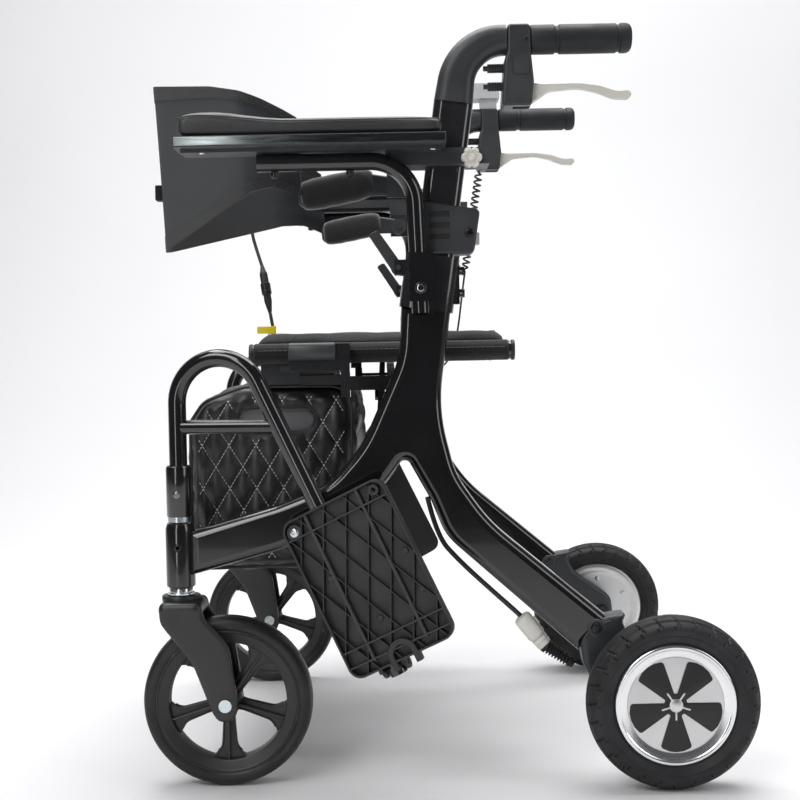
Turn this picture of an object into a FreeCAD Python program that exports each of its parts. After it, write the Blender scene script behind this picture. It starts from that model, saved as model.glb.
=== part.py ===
"""Folding rollator walker with hub-motor rear wheels, flip-over backrest and swing-away footrests.

Frame: +Z up, the walker rolls towards -X, its left side is -Y and its right side is +Y.
The left side is modelled and the right side is its mirror image in the plane Y = 0.
Lengths are millimetres, angles degrees.
"""
import FreeCAD
import Part
import math
import os

from FreeCAD import Placement, Rotation, Vector

doc = FreeCAD.newDocument("rollator")

# ---------------------------------------------------------------- driving dimensions
DIMENSIONS = {
    "centre_shift": 35.3,
    "wheel_radius": 100.0,
    "wheel_height": 100.0,
    "rear_axle_place": 303.0,
    "half_track": 290.0,
    "rear_tyre_width": 48.0,
    "rear_rim_radius": 70.0,
    "hub_width": 40.0,
    "axle_radius": 6.0,
    "caster_place": -267.0,
    "caster_trail": 53.5,
    "caster_tyre_width": 36.0,
    "caster_rim_radius": 84.0,
    "fork_gap": 44.0,
    "fork_blade": 8.0,
    "stem_pin_radius": 8.0,
    "frame_plane": 245.0,
    "frame_thick": 32.0,
    "frame_round": 11.0,
    "lean_angle": 8.2,
    "lean_place": 47.7,
    "lean_height": 680.0,
    "stem_wide": 46.0,
    "stem_deep": 24.0,
    "stem_foot": 570.0,
    "stem_top": 796.0,
    "sleeve_foot": 556.0,
    "sleeve_top": 619.0,
    "slide_gap": 0.3,
    "pin_gap": 0.05,
    "grip_radius": 17.0,
    "grip_height": 868.5,
    "grip_start": 155.0,
    "grip_end": 273.0,
    "arm_plane": 286.0,
    "arm_height": 724.5,
    "arm_radius": 10.0,
    "pad_low": 752.0,
    "pad_high": 771.0,
    "rail_height": 508.0,
    "rail_spread": 200.0,
    "rail_radius": 11.0,
    "rail_front": -181.0,
    "rail_back": 131.0,
    "brace_height": 395.0,
    "brace_pin_radius": 5.0,
    "hoop_radius": 10.5,
    "hoop_yaw": 13.0,
    "hoop_bend": 53.0,
    "plate_long": 196.0,
    "plate_wide": 133.0,
    "backrest_place": -2.5,
    "backrest_height": 704.0,
    "band_front": -330.52,
    "band_spread": 228.5,
    "band_lean": 3.1,
}

sheet = doc.addObject("Spreadsheet::Sheet", "Dimensions")
for row, (word, value) in enumerate(DIMENSIONS.items(), start=1):
    sheet.set(f"A{row}", word)
    sheet.set(f"B{row}", f"{value:g}")
    sheet.setAlias(f"B{row}", word)
doc.recompute()


class Sizes:
    """Reads a driving dimension from the sheet by its alias."""

    def __getattr__(self, word):
        return float(getattr(sheet, word))


D = Sizes()
NODES = []
LEAN = math.tan(math.radians(D.lean_angle))
LEAN_AXIS = Vector(math.sin(math.radians(D.lean_angle)), 0, math.cos(math.radians(D.lean_angle)))
ABOUT_Y = Vector(0, 1, 0)


# ---------------------------------------------------------------- helpers
def bind(obj, prop, expression):
    """Ties a property to the sheet, such as bind(box, "Length", "hub_width / 2")."""
    text = expression
    for word in sorted(DIMENSIONS, key=len, reverse=True):
        text = text.replace(word, f"@{sorted(DIMENSIONS).index(word)}@")
    for number, word in enumerate(sorted(DIMENSIONS)):
        text = text.replace(f"@{number}@", f"Dimensions.{word}")
    obj.setExpression(prop, text)


def place(obj, x=0.0, y=0.0, z=0.0, rotation=None):
    """Stands an object at a point of the walker, moved so that the whole is centred on X = 0."""
    obj.Placement = Placement(Vector(x - D.centre_shift, y, z), rotation or Rotation())
    bind(obj, "Placement.Base.x", f"{x:.6f} - centre_shift")
    for word in ("frame_plane", "half_track", "arm_plane", "rail_spread"):
        if abs(abs(y) - getattr(D, word)) < 1e-9:
            bind(obj, "Placement.Base.y", word if y > 0 else f"-{word}")
    return obj


def keep(obj, label):
    """Marks an object as a finished sub-part under its own label."""
    obj.Label = label
    NODES.append(obj)
    return obj


def corner_path(points, closed=False):
    """Lines joined by tangent arcs. Each point is (x, y, radius); returns edges in the XY plane."""
    count = len(points)
    ends = []
    for i, (x, y, radius) in enumerate(points):
        here = Vector(x, y, 0)
        if radius <= 0 or (not closed and i in (0, count - 1)):
            ends.append((here, None, here))
            continue
        back = (Vector(*points[i - 1][:2], 0) - here).normalize()
        ahead = (Vector(*points[(i + 1) % count][:2], 0) - here).normalize()
        half = back.getAngle(ahead) / 2
        reach = radius / math.tan(half)
        bisector = (back + ahead).normalize()
        centre = here + bisector * (radius / math.sin(half))
        ends.append((here + back * reach, centre - bisector * radius, here + ahead * reach))
    edges = []
    for i in range(count if closed else count - 1):
        start, middle, leave = ends[i]
        if middle is not None:
            edges.append(Part.Arc(start, middle, leave))
        arrive = ends[(i + 1) % count][0]
        if leave.distanceToPoint(arrive) > 1e-6:
            edges.append(Part.LineSegment(leave, arrive))
    return edges


def plane_of(body, role):
    """One of a body's own origin planes."""
    return [f for f in body.Origin.OriginFeatures if f.Role == role][0]


def sketch_on(body, role, loops, offset=0.0):
    """A sketch of closed loops on an origin plane of its own body."""
    sk = body.newObject("Sketcher::SketchObject", body.Name + "_sketch")
    sk.AttachmentSupport = [(plane_of(body, role), "")]
    sk.MapMode = "FlatFace"
    sk.AttachmentOffset = Placement(Vector(0, 0, offset), Rotation())
    for loop in loops:
        if isinstance(loop, tuple):
            x, y, radius = loop
            sk.addGeometry(Part.Circle(Vector(x, y, 0), Vector(0, 0, 1), radius), False)
        else:
            for edge in corner_path(loop, closed=True):
                sk.addGeometry(edge, False)
    return sk


def pad_body(name, loops, length, role="XZ_Plane", rounding=0.0):
    """A body padded both ways from its plane; its long edges are rounded if asked."""
    body = doc.addObject("PartDesign::Body", name)
    sk = sketch_on(body, role, loops)
    pad = body.newObject("PartDesign::Pad", name + "_pad")
    pad.Profile = sk
    if isinstance(length, str):
        bind(pad, "Length", length)
    else:
        pad.Length = length
    pad.Midplane = True
    doc.recompute()
    if rounding:
        round_caps(body, pad, rounding, role)
    return body


def round_caps(body, feature, radius, role="XZ_Plane"):
    """Fillets the outer edges of the two flat ends of a padded feature."""
    shape = feature.Shape
    axis = {"XZ_Plane": 1, "XY_Plane": 2, "YZ_Plane": 0}[role]
    low = [shape.BoundBox.XMin, shape.BoundBox.YMin, shape.BoundBox.ZMin][axis]
    high = [shape.BoundBox.XMax, shape.BoundBox.YMax, shape.BoundBox.ZMax][axis]
    names = []
    for number, edge in enumerate(shape.Edges, start=1):
        box = edge.BoundBox
        least = [box.XMin, box.YMin, box.ZMin][axis]
        most = [box.XMax, box.YMax, box.ZMax][axis]
        if most - least < 1e-5 and (abs(least - low) < 1e-5 or abs(most - high) < 1e-5):
            names.append(f"Edge{number}")
    fillet = body.newObject("PartDesign::Fillet", feature.Name + "_round")
    fillet.Base = (feature, names)
    fillet.Radius = radius
    doc.recompute()


def pocket(body, role, loops, length, offset=0.0, backwards=False, midplane=False):
    """A pocket from a sketch on an origin plane; it must take material away."""
    before = body.Shape.Volume
    sk = sketch_on(body, role, loops, offset)
    cut = body.newObject("PartDesign::Pocket", body.Name + "_pocket")
    cut.Profile = sk
    cut.Length = length
    cut.Midplane = midplane
    cut.Reversed = backwards
    doc.recompute()
    if not body.Shape.Volume < before - 1e-3:
        raise ValueError(f"{body.Name}: the pocket cut nothing")
    return cut


def polar(body, feature, count):
    """Repeats a feature round the body's own Y axis."""
    pattern = body.newObject("PartDesign::PolarPattern", feature.Name + "_round")
    pattern.Originals = [feature]
    pattern.Axis = ([f for f in body.Origin.OriginFeatures if f.Role == "Y_Axis"][0], [""])
    pattern.Angle = 360
    pattern.Occurrences = count
    body.Tip = pattern
    doc.recompute()
    return pattern


def turned_body(name, profile):
    """A solid of revolution about its own Y axis; the profile is (radius, y, corner radius)."""
    body = doc.addObject("PartDesign::Body", name)
    sk = sketch_on(body, "XY_Plane", [profile])
    turn = body.newObject("PartDesign::Revolution", name + "_turn")
    turn.Profile = sk
    turn.ReferenceAxis = (sk, ["V_Axis"])
    turn.Angle = 360
    doc.recompute()
    return body


def box(name, low, high):
    """A Part::Box between two opposite corners."""
    obj = doc.addObject("Part::Box", name)
    obj.Length = high[0] - low[0]
    obj.Width = high[1] - low[1]
    obj.Height = high[2] - low[2]
    return place(obj, *low)


def rod(name, start, end, radius):
    """A Part::Cylinder between two points; the radius is a number or an expression."""
    obj = doc.addObject("Part::Cylinder", name)
    run = Vector(*end) - Vector(*start)
    if isinstance(radius, str):
        bind(obj, "Radius", radius)
    else:
        obj.Radius = radius
    obj.Height = run.Length
    return place(obj, *start, Rotation(Vector(0, 0, 1), run))


def fuse(name, *objects):
    """One solid from several."""
    obj = doc.addObject("Part::MultiFuse", name)
    obj.Shapes = list(objects)
    obj.Refine = True
    doc.recompute()
    return obj


def cut(name, base, tool):
    """What is left of base outside tool."""
    obj = doc.addObject("Part::Cut", name)
    obj.Base = base
    obj.Tool = tool
    doc.recompute()
    return obj


def group(name, *objects):
    """Several separate solids of one node, such as a set of bolts."""
    obj = doc.addObject("Part::Compound", name)
    obj.Links = list(objects)
    doc.recompute()
    return obj


def solid(name, shape):
    """A Part::Feature for a shape that no body or primitive makes well."""
    obj = doc.addObject("Part::Feature", name)
    obj.Shape = shape
    return place(obj)


def lift(edges, frame):
    """Carries edges drawn in the XY plane into space with a placement."""
    wire = Part.Wire([e.toShape() for e in edges])
    wire.Placement = frame
    return wire


def pipe(edges, frame, radius):
    """A round tube along lines and tangent arcs; prints its volume against section times length."""
    path = lift(edges, frame)
    first = path.OrderedEdges[0]
    start = first.valueAt(first.FirstParameter)
    along = first.tangentAt(first.FirstParameter)
    section = Part.Wire([Part.makeCircle(radius, start, along)])
    tube = path.makePipeShell([section], True, True)
    ideal = math.pi * radius ** 2 * path.Length
    print(f"tube r {radius:g}: length {path.Length:.1f}, volume ratio {tube.Volume / ideal:.5f}")
    return tube


def oval(width, depth, z_low, z_high, at=0.0):
    """A flattened-oval prism along the leaning stem axis, width fore and aft, depth across."""
    corner = depth / 2 - 0.01
    loop = [
        (-width / 2, -depth / 2, corner),
        (width / 2, -depth / 2, corner),
        (width / 2, depth / 2, corner),
        (-width / 2, depth / 2, corner),
    ]
    tilt = Rotation(ABOUT_Y, D.lean_angle)
    foot = Vector(stem_x(z_low) + at, -D.frame_plane, z_low)
    face = Part.Face(lift(corner_path(loop, closed=True), Placement(foot, tilt)))
    return face.extrude(LEAN_AXIS * ((z_high - z_low) / LEAN_AXIS.z))


def stem_x(z):
    """Where the leaning stem axis is at a height."""
    return D.lean_place + LEAN * (z - D.lean_height)


def cord(name, points, radius):
    """A cord's tube through points in space: straight runs joined by the largest arcs that fit."""
    spots = [Vector(*p) for p in points]
    edges = []
    leave = spots[0]
    for i in range(1, len(spots) - 1):
        back = (spots[i - 1] - spots[i]).normalize()
        ahead = (spots[i + 1] - spots[i]).normalize()
        run = min(spots[i].distanceToPoint(spots[i - 1]), spots[i].distanceToPoint(spots[i + 1]))
        reach = 0.45 * run
        half = back.getAngle(ahead) / 2
        bend = reach * math.tan(half)
        bisector = (back + ahead).normalize()
        centre = spots[i] + bisector * (bend / math.sin(half))
        edges.append(Part.LineSegment(leave, spots[i] + back * reach))
        edges.append(
            Part.Arc(spots[i] + back * reach, centre - bisector * bend, spots[i] + ahead * reach)
        )
        leave = spots[i] + ahead * reach
        print(f"{name}: bend radius {bend:.1f}")
    edges.append(Part.LineSegment(leave, spots[-1]))
    return pipe(edges, Placement(), radius)


# ---------------------------------------------------------------- left side frame
frame_outline = [
    (-1, 560, 0),
    (-4, 500, 110),
    (-50, 398, 150),
    (-92, 352, 90),
    (-150, 330, 200),
    (-254, 301, 0),
    (-254, 249, 0),
    (-139, 280, 150),
    (-70, 317, 150),
    (-22, 354, 60),
    (1, 386, 7),
    (30, 333, 60),
    (47, 290, 70),
    (200, 153, 0),
    (236, 191, 0),
    (98, 307, 200),
    (60, 362, 100),
    (41, 440, 200),
    (58, 560, 0),
]
wishbone = pad_body("wishbone", [frame_outline], "frame_thick", rounding=D.frame_round)
place(wishbone, 0, -D.frame_plane, 0)
sleeve = solid("sleeve", oval(64, 34, D.sleeve_foot, D.sleeve_top, -1.5))
ear = box("clamp_ear", (54, -D.frame_plane - 5, 562), (68, -D.frame_plane + 5, 612))
front_ear = box("lever_ear", (-8, -D.frame_plane - 9, 597), (8, -D.frame_plane + 9, 615))


def head_rod(name, z_low, z_high, radius):
    """A round bar on the steering axis of the left caster."""
    return rod(name, (D.caster_place, -D.frame_plane, z_low), (D.caster_place, -D.frame_plane, z_high), radius)


head_lower = head_rod("head_lower", 235, 311, 15)
post = box("seat_post", (-74, -234, 455), (-63, -222, 500))
flat_bar = box("seat_bar", (-72, -234, 463), (2, -222, 480))
saddle_back = box("saddle_back", (-135, -226, 488), (-63, -213, 519))
saddle_lip = box("saddle_lip", (-135, -222, 488), (-63, -196, 496))
ears = []
for number, x in enumerate((-46.0, 10.0)):
    tab = box(f"brace_tab_{number}", (x, -236, 384), (x + 6, -D.rail_spread, 406))
    start, stop = ((place_x, -D.rail_spread, D.brace_height) for place_x in (x, x + 6))
    tip = rod(f"brace_tip_{number}", start, stop, 11)
    ears += [tab, tip]
brace_pin = rod(
    "brace_pin", (-44, -D.rail_spread, D.brace_height), (14, -D.rail_spread, D.brace_height), "brace_pin_radius",
)
frame_full = fuse(
    "frame_full", wishbone, sleeve, ear, front_ear, head_lower, post, flat_bar, saddle_back, saddle_lip,
    *ears, brace_pin,
)
stem_slot = solid("stem_slot", oval(D.stem_wide + 2 * D.slide_gap, D.stem_deep + 2 * D.slide_gap, 534, 640))
head_bore = head_rod("head_bore", 230, 279, "stem_pin_radius + pin_gap")
hanger_bore = head_rod("hanger_bore", 286, 320, "stem_pin_radius + pin_gap")
lever_slot = box("lever_slot", (-30, -D.frame_plane - 4.6, 590), (6, -D.frame_plane + 4.6, 622))
lever_bore = rod("lever_bore", (-3, -D.frame_plane - 20, 606), (-3, -D.frame_plane + 20, 606), 3.05)
frame_cuts = fuse("frame_cuts", stem_slot, head_bore, hanger_bore)
lever_cuts = fuse("lever_cuts", lever_slot, lever_bore)
frame_half = cut("frame_half", frame_full, frame_cuts)
side_frame = keep(cut("side_frame", frame_half, lever_cuts), "side_frame_left")

# ---------------------------------------------------------------- collar housing round the stem
collar_loop = [(27, 682, 4), (93, 671, 6), (85, 620, 6), (29, 620, 4)]
collar_body = pad_body("collar_body", [collar_loop], 38.0, rounding=3.0)
place(collar_body, 0, -D.frame_plane, 0)
collar_slot = solid("collar_slot", oval(D.stem_wide + 2 * D.slide_gap, D.stem_deep + 2 * D.slide_gap, 600, 700))
louvres = []
for number, z in enumerate((666, 653, 640)):
    slot = box(f"louvre_{number}", (33, -D.frame_plane - 20, z - 3), (57, -D.frame_plane - 17, z + 3))
    louvres.append(slot)
collar_cuts = fuse("collar_cuts", collar_slot, *louvres)
keep(cut("collar_housing", collar_body, collar_cuts), "collar_housing_left")

# ---------------------------------------------------------------- armrest
arm_frame = Placement(Vector(0, -D.arm_plane, 0), Rotation(Vector(1, 0, 0), 90))
arm_path = corner_path([(-162, D.arm_height, 0), (15.5, D.arm_height, 50), (21.5, 551, 0)])
arm_pipe = solid("arm_pipe", pipe(arm_path, arm_frame, D.arm_radius))
socket = box("arm_socket", (9, -300, 564), (37, -262, 619.4))
keep(fuse("armrest_frame", arm_pipe, socket), "armrest_frame_left")

tray = box("tray", (-252, -318, 739), (53, -262.5, 751.5))
strip = box("strip", (-246, -304, 735), (48, -268, 740))
band = box("stem_band", (-16, -272, 722), (104, -226, 741))
tab = box("backrest_tab", (-15, -232.5, 690), (12, -227.5, 724))


def hinge_rod(name, y_start, y_stop, radius):
    """A round bar on the left hinge axis of the backrest."""
    start, stop = ((D.backrest_place, y, D.backrest_height) for y in (y_start, y_stop))
    return rod(name, start, stop, radius)


pivot = hinge_rod("backrest_pivot", -230, -213.5, 5)
tray_full = fuse("tray_full", tray, strip, band, tab, pivot)
band_slot = solid("band_slot", oval(D.stem_wide + 2 * D.slide_gap, D.stem_deep + 2 * D.slide_gap, 700, 760))
knob_bore = rod("knob_bore", (83, -275, 728), (83, -258, 728), 3.05)
keep(cut("armrest_tray", tray_full, fuse("tray_cuts", band_slot, knob_bore)), "armrest_tray_left")

pad_loop = [
    (-250, D.pad_low, 3),
    (-250, 776, 9),
    (-226, 778, 14),
    (-180, D.pad_high, 60),
    (30, D.pad_high - 1, 20),
    (50, 764, 8),
    (50, D.pad_low, 3),
]
armrest_pad = pad_body("armrest_pad", [pad_loop], 54.0, rounding=5.0)
keep(place(armrest_pad, 0, -290.3, 0), "armrest_pad_left")

knob_body = pad_body("knob_body", [(0.0, 0.0, 8.5)], 12.0)
place(knob_body, 83, -279.5, 728)
lobes = [knob_body]
for number in range(6):
    angle = math.radians(60 * number)
    x, z = 83 + 8 * math.cos(angle), 728 + 8 * math.sin(angle)
    lobes.append(rod(f"knob_lobe_{number}", (x, -285.5, z), (x, -273.5, z), 3.6))
lobes.append(rod("knob_screw", (83, -280, 728), (83, -260, 728), 3.0))
keep(fuse("star_knob", *lobes), "star_knob_left")

# ---------------------------------------------------------------- quick-release lever
lever_boss = rod("release_boss", (-3, -D.frame_plane - 4, 606), (-3, -D.frame_plane + 4, 606), 9)
lever_pin = rod("release_pin", (-3, -D.frame_plane - 12, 606), (-3, -D.frame_plane + 12, 606), 3)
lever_loop = [(-9, 600, 2), (-38, 645, 3), (-27, 651, 4), (4, 606, 2)]
lever_blade = place(pad_body("release_blade", [lever_loop], 7.0, rounding=1.5), 0, -D.frame_plane, 0)
keep(fuse("quick_release", lever_boss, lever_pin, lever_blade), "quick_release_left")

# ---------------------------------------------------------------- handle
keep(solid("handle_stem", oval(D.stem_wide, D.stem_deep, D.stem_foot, D.stem_top)), "handle_stem_left")

bend_path = corner_path([
    (stem_x(D.stem_top + 0.2), D.stem_top + 0.2, 0),
    (stem_x(D.grip_height), D.grip_height, 56),
    (127, D.grip_height, 0),
])
bend_frame = Placement(Vector(0, -D.frame_plane, 0), Rotation(Vector(1, 0, 0), 90))
bend_wire = lift(bend_path, bend_frame)
foot_loop = corner_path([(-23, -15, 14), (23, -15, 14), (23, 15, 14), (-23, 15, 14)], closed=True)
tilt = Rotation(ABOUT_Y, D.lean_angle)
foot_spot = Vector(stem_x(D.stem_top + 0.2), -D.frame_plane, D.stem_top + 0.2)
foot_section = lift(foot_loop, Placement(foot_spot, tilt))
end_loop = corner_path([(-17, -17, 15), (17, -17, 15), (17, 17, 15), (-17, 17, 15)], closed=True)
end_section = lift(end_loop, Placement(Vector(127, -D.frame_plane, D.grip_height), Rotation(ABOUT_Y, 90)))
shell = Part.BRepOffsetAPI.MakePipeShell(bend_wire)
shell.add(foot_section, False, False)
shell.add(end_section, False, False)
shell.build()
shell.makeSolid()
keep(solid("handle_elbow", shell.shape()), "handle_elbow_left")

grip_profile = [
    (0, -127.3, 0),
    (12, -127.3, 0),
    (12, -D.grip_start, 0),
    (D.grip_radius, -D.grip_start, 2),
    (D.grip_radius, -184, 0),
    (D.grip_radius - 1.2, -185, 0),
    (D.grip_radius - 1.2, -188, 0),
    (D.grip_radius, -189, 0),
    (D.grip_radius, -D.grip_end, 6),
    (0, -D.grip_end, 0),
]
grip_body = turned_body("grip_body", grip_profile)
keep(place(grip_body, 0, -D.frame_plane, D.grip_height, Rotation(Vector(0, 0, 1), 90)), "grip_left")

housing_loop = [
    (127.5, 884, 5),
    (154.5, 884, 5),
    (155, 850, 3),
    (158, 818, 3),
    (155, 790, 4),
    (120, 790, 4),
    (124, 842, 6),
    (127.5, 853, 4),
]
housing_body = pad_body("housing_body", [housing_loop], 34.0, rounding=3.5)
place(housing_body, 0, -D.frame_plane, 0)
adjusters = []
for number, z in enumerate((836, 815)):
    adjusters.append(rod(f"adjuster_{number}", (105, -D.frame_plane, z), (130, -D.frame_plane, z), 5))
    adjusters.append(rod(f"adjuster_tail_{number}", (100, -D.frame_plane, z), (108, -D.frame_plane, z), 3))
housing_full = fuse("housing_full", housing_body, *adjusters)
grip_bore = rod("grip_bore", (110, -D.frame_plane, D.grip_height), (180, -D.frame_plane, D.grip_height), 12.1)
finger_slot = box("finger_slot", (134, -D.frame_plane - 7, 780), (170, -D.frame_plane + 7, 826))
finger_bore = rod("finger_bore", (146, -D.frame_plane - 14, 806), (146, -D.frame_plane + 14, 806), 3.05)
housing_cuts = fuse("housing_cuts", grip_bore, finger_slot, finger_bore)
keep(cut("brake_housing", housing_full, housing_cuts), "brake_housing_left")

finger_loop = [
    (139, 812, 4),
    (152, 819, 6),
    (168, 816, 30),
    (212, 816.5, 60),
    (236, 813, 30),
    (256, 806, 30),
    (268, 808, 4),
    (274, 803, 4),
    (268, 797, 4),
    (252, 798, 20),
    (232, 806, 30),
    (210, 811, 60),
    (176, 808, 20),
    (156, 794, 6),
    (139, 798, 6),
]
finger_body = place(pad_body("finger_body", [finger_loop], 12.0, rounding=2.0), 0, -D.frame_plane, 0)
finger_pin = rod("finger_pin", (146, -D.frame_plane - 13, 806), (146, -D.frame_plane + 13, 806), 3)
keep(fuse("brake_lever", finger_body, finger_pin), "brake_lever_left")

# ---------------------------------------------------------------- swing-away footrest
hoop_frame = Placement(
    Vector(D.caster_place, -D.frame_plane, 0),
    Rotation(Vector(0, 0, 1), -D.hoop_yaw).multiply(Rotation(Vector(1, 0, 0), 90)),
)
HOOP_START = Vector(0, 345, 0)
hoop_centre = Vector(D.hoop_bend, 451.2, 0)
slope = math.atan2(335.7 - 141.8, 264 - 169)
normal = Vector(math.sin(slope), math.cos(slope), 0)
along = Vector(math.cos(slope), -math.sin(slope), 0)
touch = hoop_centre + normal * D.hoop_bend
middle = hoop_centre + Vector(-math.sin(slope / 2), math.cos(slope / 2), 0) * D.hoop_bend
hoop_end = touch + along * 371.0
hoop_edges = [
    Part.LineSegment(HOOP_START, Vector(0, hoop_centre.y, 0)),
    Part.Arc(Vector(0, hoop_centre.y, 0), middle, touch),
    Part.LineSegment(touch, hoop_end),
]
hoop_pipe = solid("hoop_pipe", pipe(hoop_edges, hoop_frame, D.hoop_radius))


def in_hoop(u, z, n=0.0):
    """A point of the footrest's own plane: u out from its swivel, z up, n outboard."""
    return hoop_frame.multVec(Vector(u, z, n))


bar_reach = touch.x + (touch.y - 423.5) / math.tan(slope)
cross_bar = rod("cross_bar", in_hoop(0, 423.5), in_hoop(bar_reach, 423.5), 8.5)
swing_sleeve = head_rod("swing_sleeve", 311.5, 379, 13)
swing_pin = head_rod("swing_pin", 288, 320, "stem_pin_radius")
hinge_spot = hoop_end - along * 9.0
hinge_bore = rod(
    "hinge_bore",
    in_hoop(hinge_spot.x - normal.x * 20, hinge_spot.y - normal.y * 20),
    in_hoop(hinge_spot.x + normal.x * 20, hinge_spot.y + normal.y * 20),
    4.05,
)
hoop_full = fuse("hoop_full", hoop_pipe, cross_bar, swing_sleeve, swing_pin)
keep(cut("hanger_hoop", hoop_full, hinge_bore), "hanger_hoop_left")

# the plate is drawn flat: x across the hinge line, z along the tube towards its top, ribs outboard
half = D.plate_wide / 2
plate_loop = [(-half, 0, 14), (half, 0, 14), (half, D.plate_long, 14), (-half, D.plate_long, 14)]
plate_body = pad_body("plate_body", [plate_loop], 12.0, rounding=1.5)
cells = []
for column in range(3):
    for line in range(4):
        x = -half + 5 + column * (D.plate_wide - 6) / 3
        z = 5 + line * (D.plate_long - 6) / 4
        wide = (D.plate_wide - 6) / 3 - 4
        tall = (D.plate_long - 6) / 4 - 4
        cells.append([(x, z, 5), (x + wide, z, 5), (x + wide, z + tall, 5), (x, z + tall, 5)])
pocket(plate_body, "XZ_Plane", cells, 8.0, offset=6.0)
plate_tilt = Rotation(ABOUT_Y, -math.degrees(math.pi / 2 - slope))
plate_spin = Rotation(Vector(0, 0, 1), -D.hoop_yaw).multiply(plate_tilt)
plate_foot = hinge_spot - along * 6.0 + normal * 21.0
plate_spot = in_hoop(plate_foot.x, plate_foot.y, 17.6)
place(plate_body, plate_spot.x, plate_spot.y, plate_spot.z, plate_spin)
yokes = []
for number, side in enumerate((-1, 1)):
    near = hinge_spot + normal * side * 11.5
    far = hinge_spot + normal * side * 17.0
    yokes.append(rod(f"yoke_{number}", in_hoop(near.x, near.y), in_hoop(far.x, far.y), 8))
    arm = doc.addObject("Part::Box", f"yoke_arm_{number}")
    arm.Length = 5.5
    arm.Width = 15.0
    arm.Height = 30.0
    base = hinge_spot + normal * (11.5 if side > 0 else -17.0)
    spot = in_hoop(base.x, base.y, 15.0)
    place(arm, spot.x, spot.y, spot.z, plate_spin)
    yokes.append(arm)
pin_low = hinge_spot - normal * 19.0
pin_high = hinge_spot + normal * 19.0
yokes.append(rod("yoke_pin", in_hoop(pin_low.x, pin_low.y), in_hoop(pin_high.x, pin_high.y), 4))
keep(fuse("footplate", plate_body, *yokes), "footplate_left")
print("footplate hinge", in_hoop(hinge_spot.x, hinge_spot.y) - Vector(D.centre_shift, 0, 0))
print("footplate hinge axis", hoop_frame.Rotation.multVec(normal))

# ---------------------------------------------------------------- caster
wheel_x = D.caster_place + D.caster_trail


def cross_rod(name, x, y_start, y_stop, radius):
    """A round bar across the walker at the height of the wheel axles."""
    return rod(name, (x, y_start, D.wheel_height), (x, y_stop, D.wheel_height), radius)


blade_loop = [
    (-286, 222, 4), (-287, 206, 8), (-250, 150, 60), (-228, 92, 30), (wheel_x, 82, 12),
    (-198, 92, 12), (-200, 108, 20), (-206, 172, 40), (-233, 210, 20), (-234, 222, 4),
]
blade_gap = D.fork_gap / 2 + D.fork_blade / 2
blades = []
for number, side in enumerate((-1, 1)):
    blade = pad_body(f"blade_{number}", [blade_loop], "fork_blade", rounding=2.5)
    blades.append(place(blade, 0, -D.frame_plane + side * blade_gap, 0))
crown = box("crown", (-285, -D.frame_plane - 28, 204), (-236, -D.frame_plane + 28, 222))
cap = head_rod("bearing_cap", 220, 234.6, 21)
spindle = head_rod("spindle", 222, 277, "stem_pin_radius")
fork_full = fuse("fork_full", *blades, crown, cap, spindle)
fork_bore = cross_rod("fork_bore", wheel_x, -D.frame_plane - 40, -D.frame_plane + 40, 4.0)
keep(cut("caster_fork", fork_full, fork_bore), "caster_fork_left")

axle = cross_rod("caster_shaft", wheel_x, -D.frame_plane - 34, -D.frame_plane + 34, 4.0)
heads = []
for number, side in enumerate((-1, 1)):
    y = -D.frame_plane + side * (D.fork_gap / 2 + D.fork_blade)
    heads.append(cross_rod(f"axle_head_{number}", wheel_x, y, y + side * 4, 7.5))
keep(fuse("caster_axle", axle, *heads), "caster_axle_left")

half = D.caster_tyre_width / 2
tyre_profile = [
    (D.caster_rim_radius, -half + 3, 1),
    (D.wheel_radius - 5, -half, 6),
    (D.wheel_radius, -half + 9, 6),
    (D.wheel_radius, half - 9, 6),
    (D.wheel_radius - 5, half, 6),
    (D.caster_rim_radius, half - 3, 1),
]
caster_tyre = turned_body("caster_tyre", tyre_profile)
keep(place(caster_tyre, wheel_x, -D.frame_plane, D.wheel_height), "caster_tyre_left")

caster_rim = pad_body("caster_rim", [(0.0, 0.0, D.caster_rim_radius), (0.0, 0.0, 4.0 + D.pin_gap)], 28.0)
window = [(19, 4.5, 4), (66.5, 7.5, 6), (60, 30, 8), (48, 46.5, 8), (27.5, 61, 6), (10.2, 16.6, 4)]
window_cut = pocket(caster_rim, "XZ_Plane", [window], 40.0, midplane=True)
polar(caster_rim, window_cut, 5)
keep(place(caster_rim, wheel_x, -D.frame_plane, D.wheel_height), "caster_rim_left")

# ---------------------------------------------------------------- rear hub-motor wheel
bracket_loop = [
    (188, 166, 8), (204, 207, 10), (250, 201, 14), (322, 122, 20),
    (322, 84, 20), (284, 78, 20), (206, 117, 16),
]
bracket_body = pad_body("bracket_body", [bracket_loop], 34.0, rounding=5.0)
place(bracket_body, 0, -D.frame_plane, 0)
keep(cut("motor_bracket", bracket_body, side_frame), "motor_bracket_left")

rear_x = D.rear_axle_place
half = D.rear_tyre_width / 2
rear_profile = [
    (D.rear_rim_radius, -half + 6, 1),
    (82, -half, 8),
    (92, -half, 5),
    (D.wheel_radius, -half + 12, 8),
    (D.wheel_radius, half - 12, 8),
    (92, half, 5),
    (82, half, 8),
    (D.rear_rim_radius, half - 6, 1),
]
rear_tyre = turned_body("rear_tyre", rear_profile)
keep(place(rear_tyre, rear_x, -D.half_track, D.wheel_height), "rear_tyre_left")
half = D.hub_width / 2
hub_profile = [
    (0, -half + 3, 0),
    (56, -half + 3, 1),
    (62.5, -half - 0.6, 1.5),
    (66.5, -half - 0.8, 1.5),
    (D.rear_rim_radius, -half + 2, 1),
    (D.rear_rim_radius, half - 2, 2),
    (56, half - 2, 2),
    (50, half, 2),
    (D.axle_radius + D.pin_gap, half, 0),
    (D.axle_radius + D.pin_gap, -8, 0),
    (0, -8, 0),
]
hub_rim = turned_body("hub_rim", hub_profile)
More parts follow.
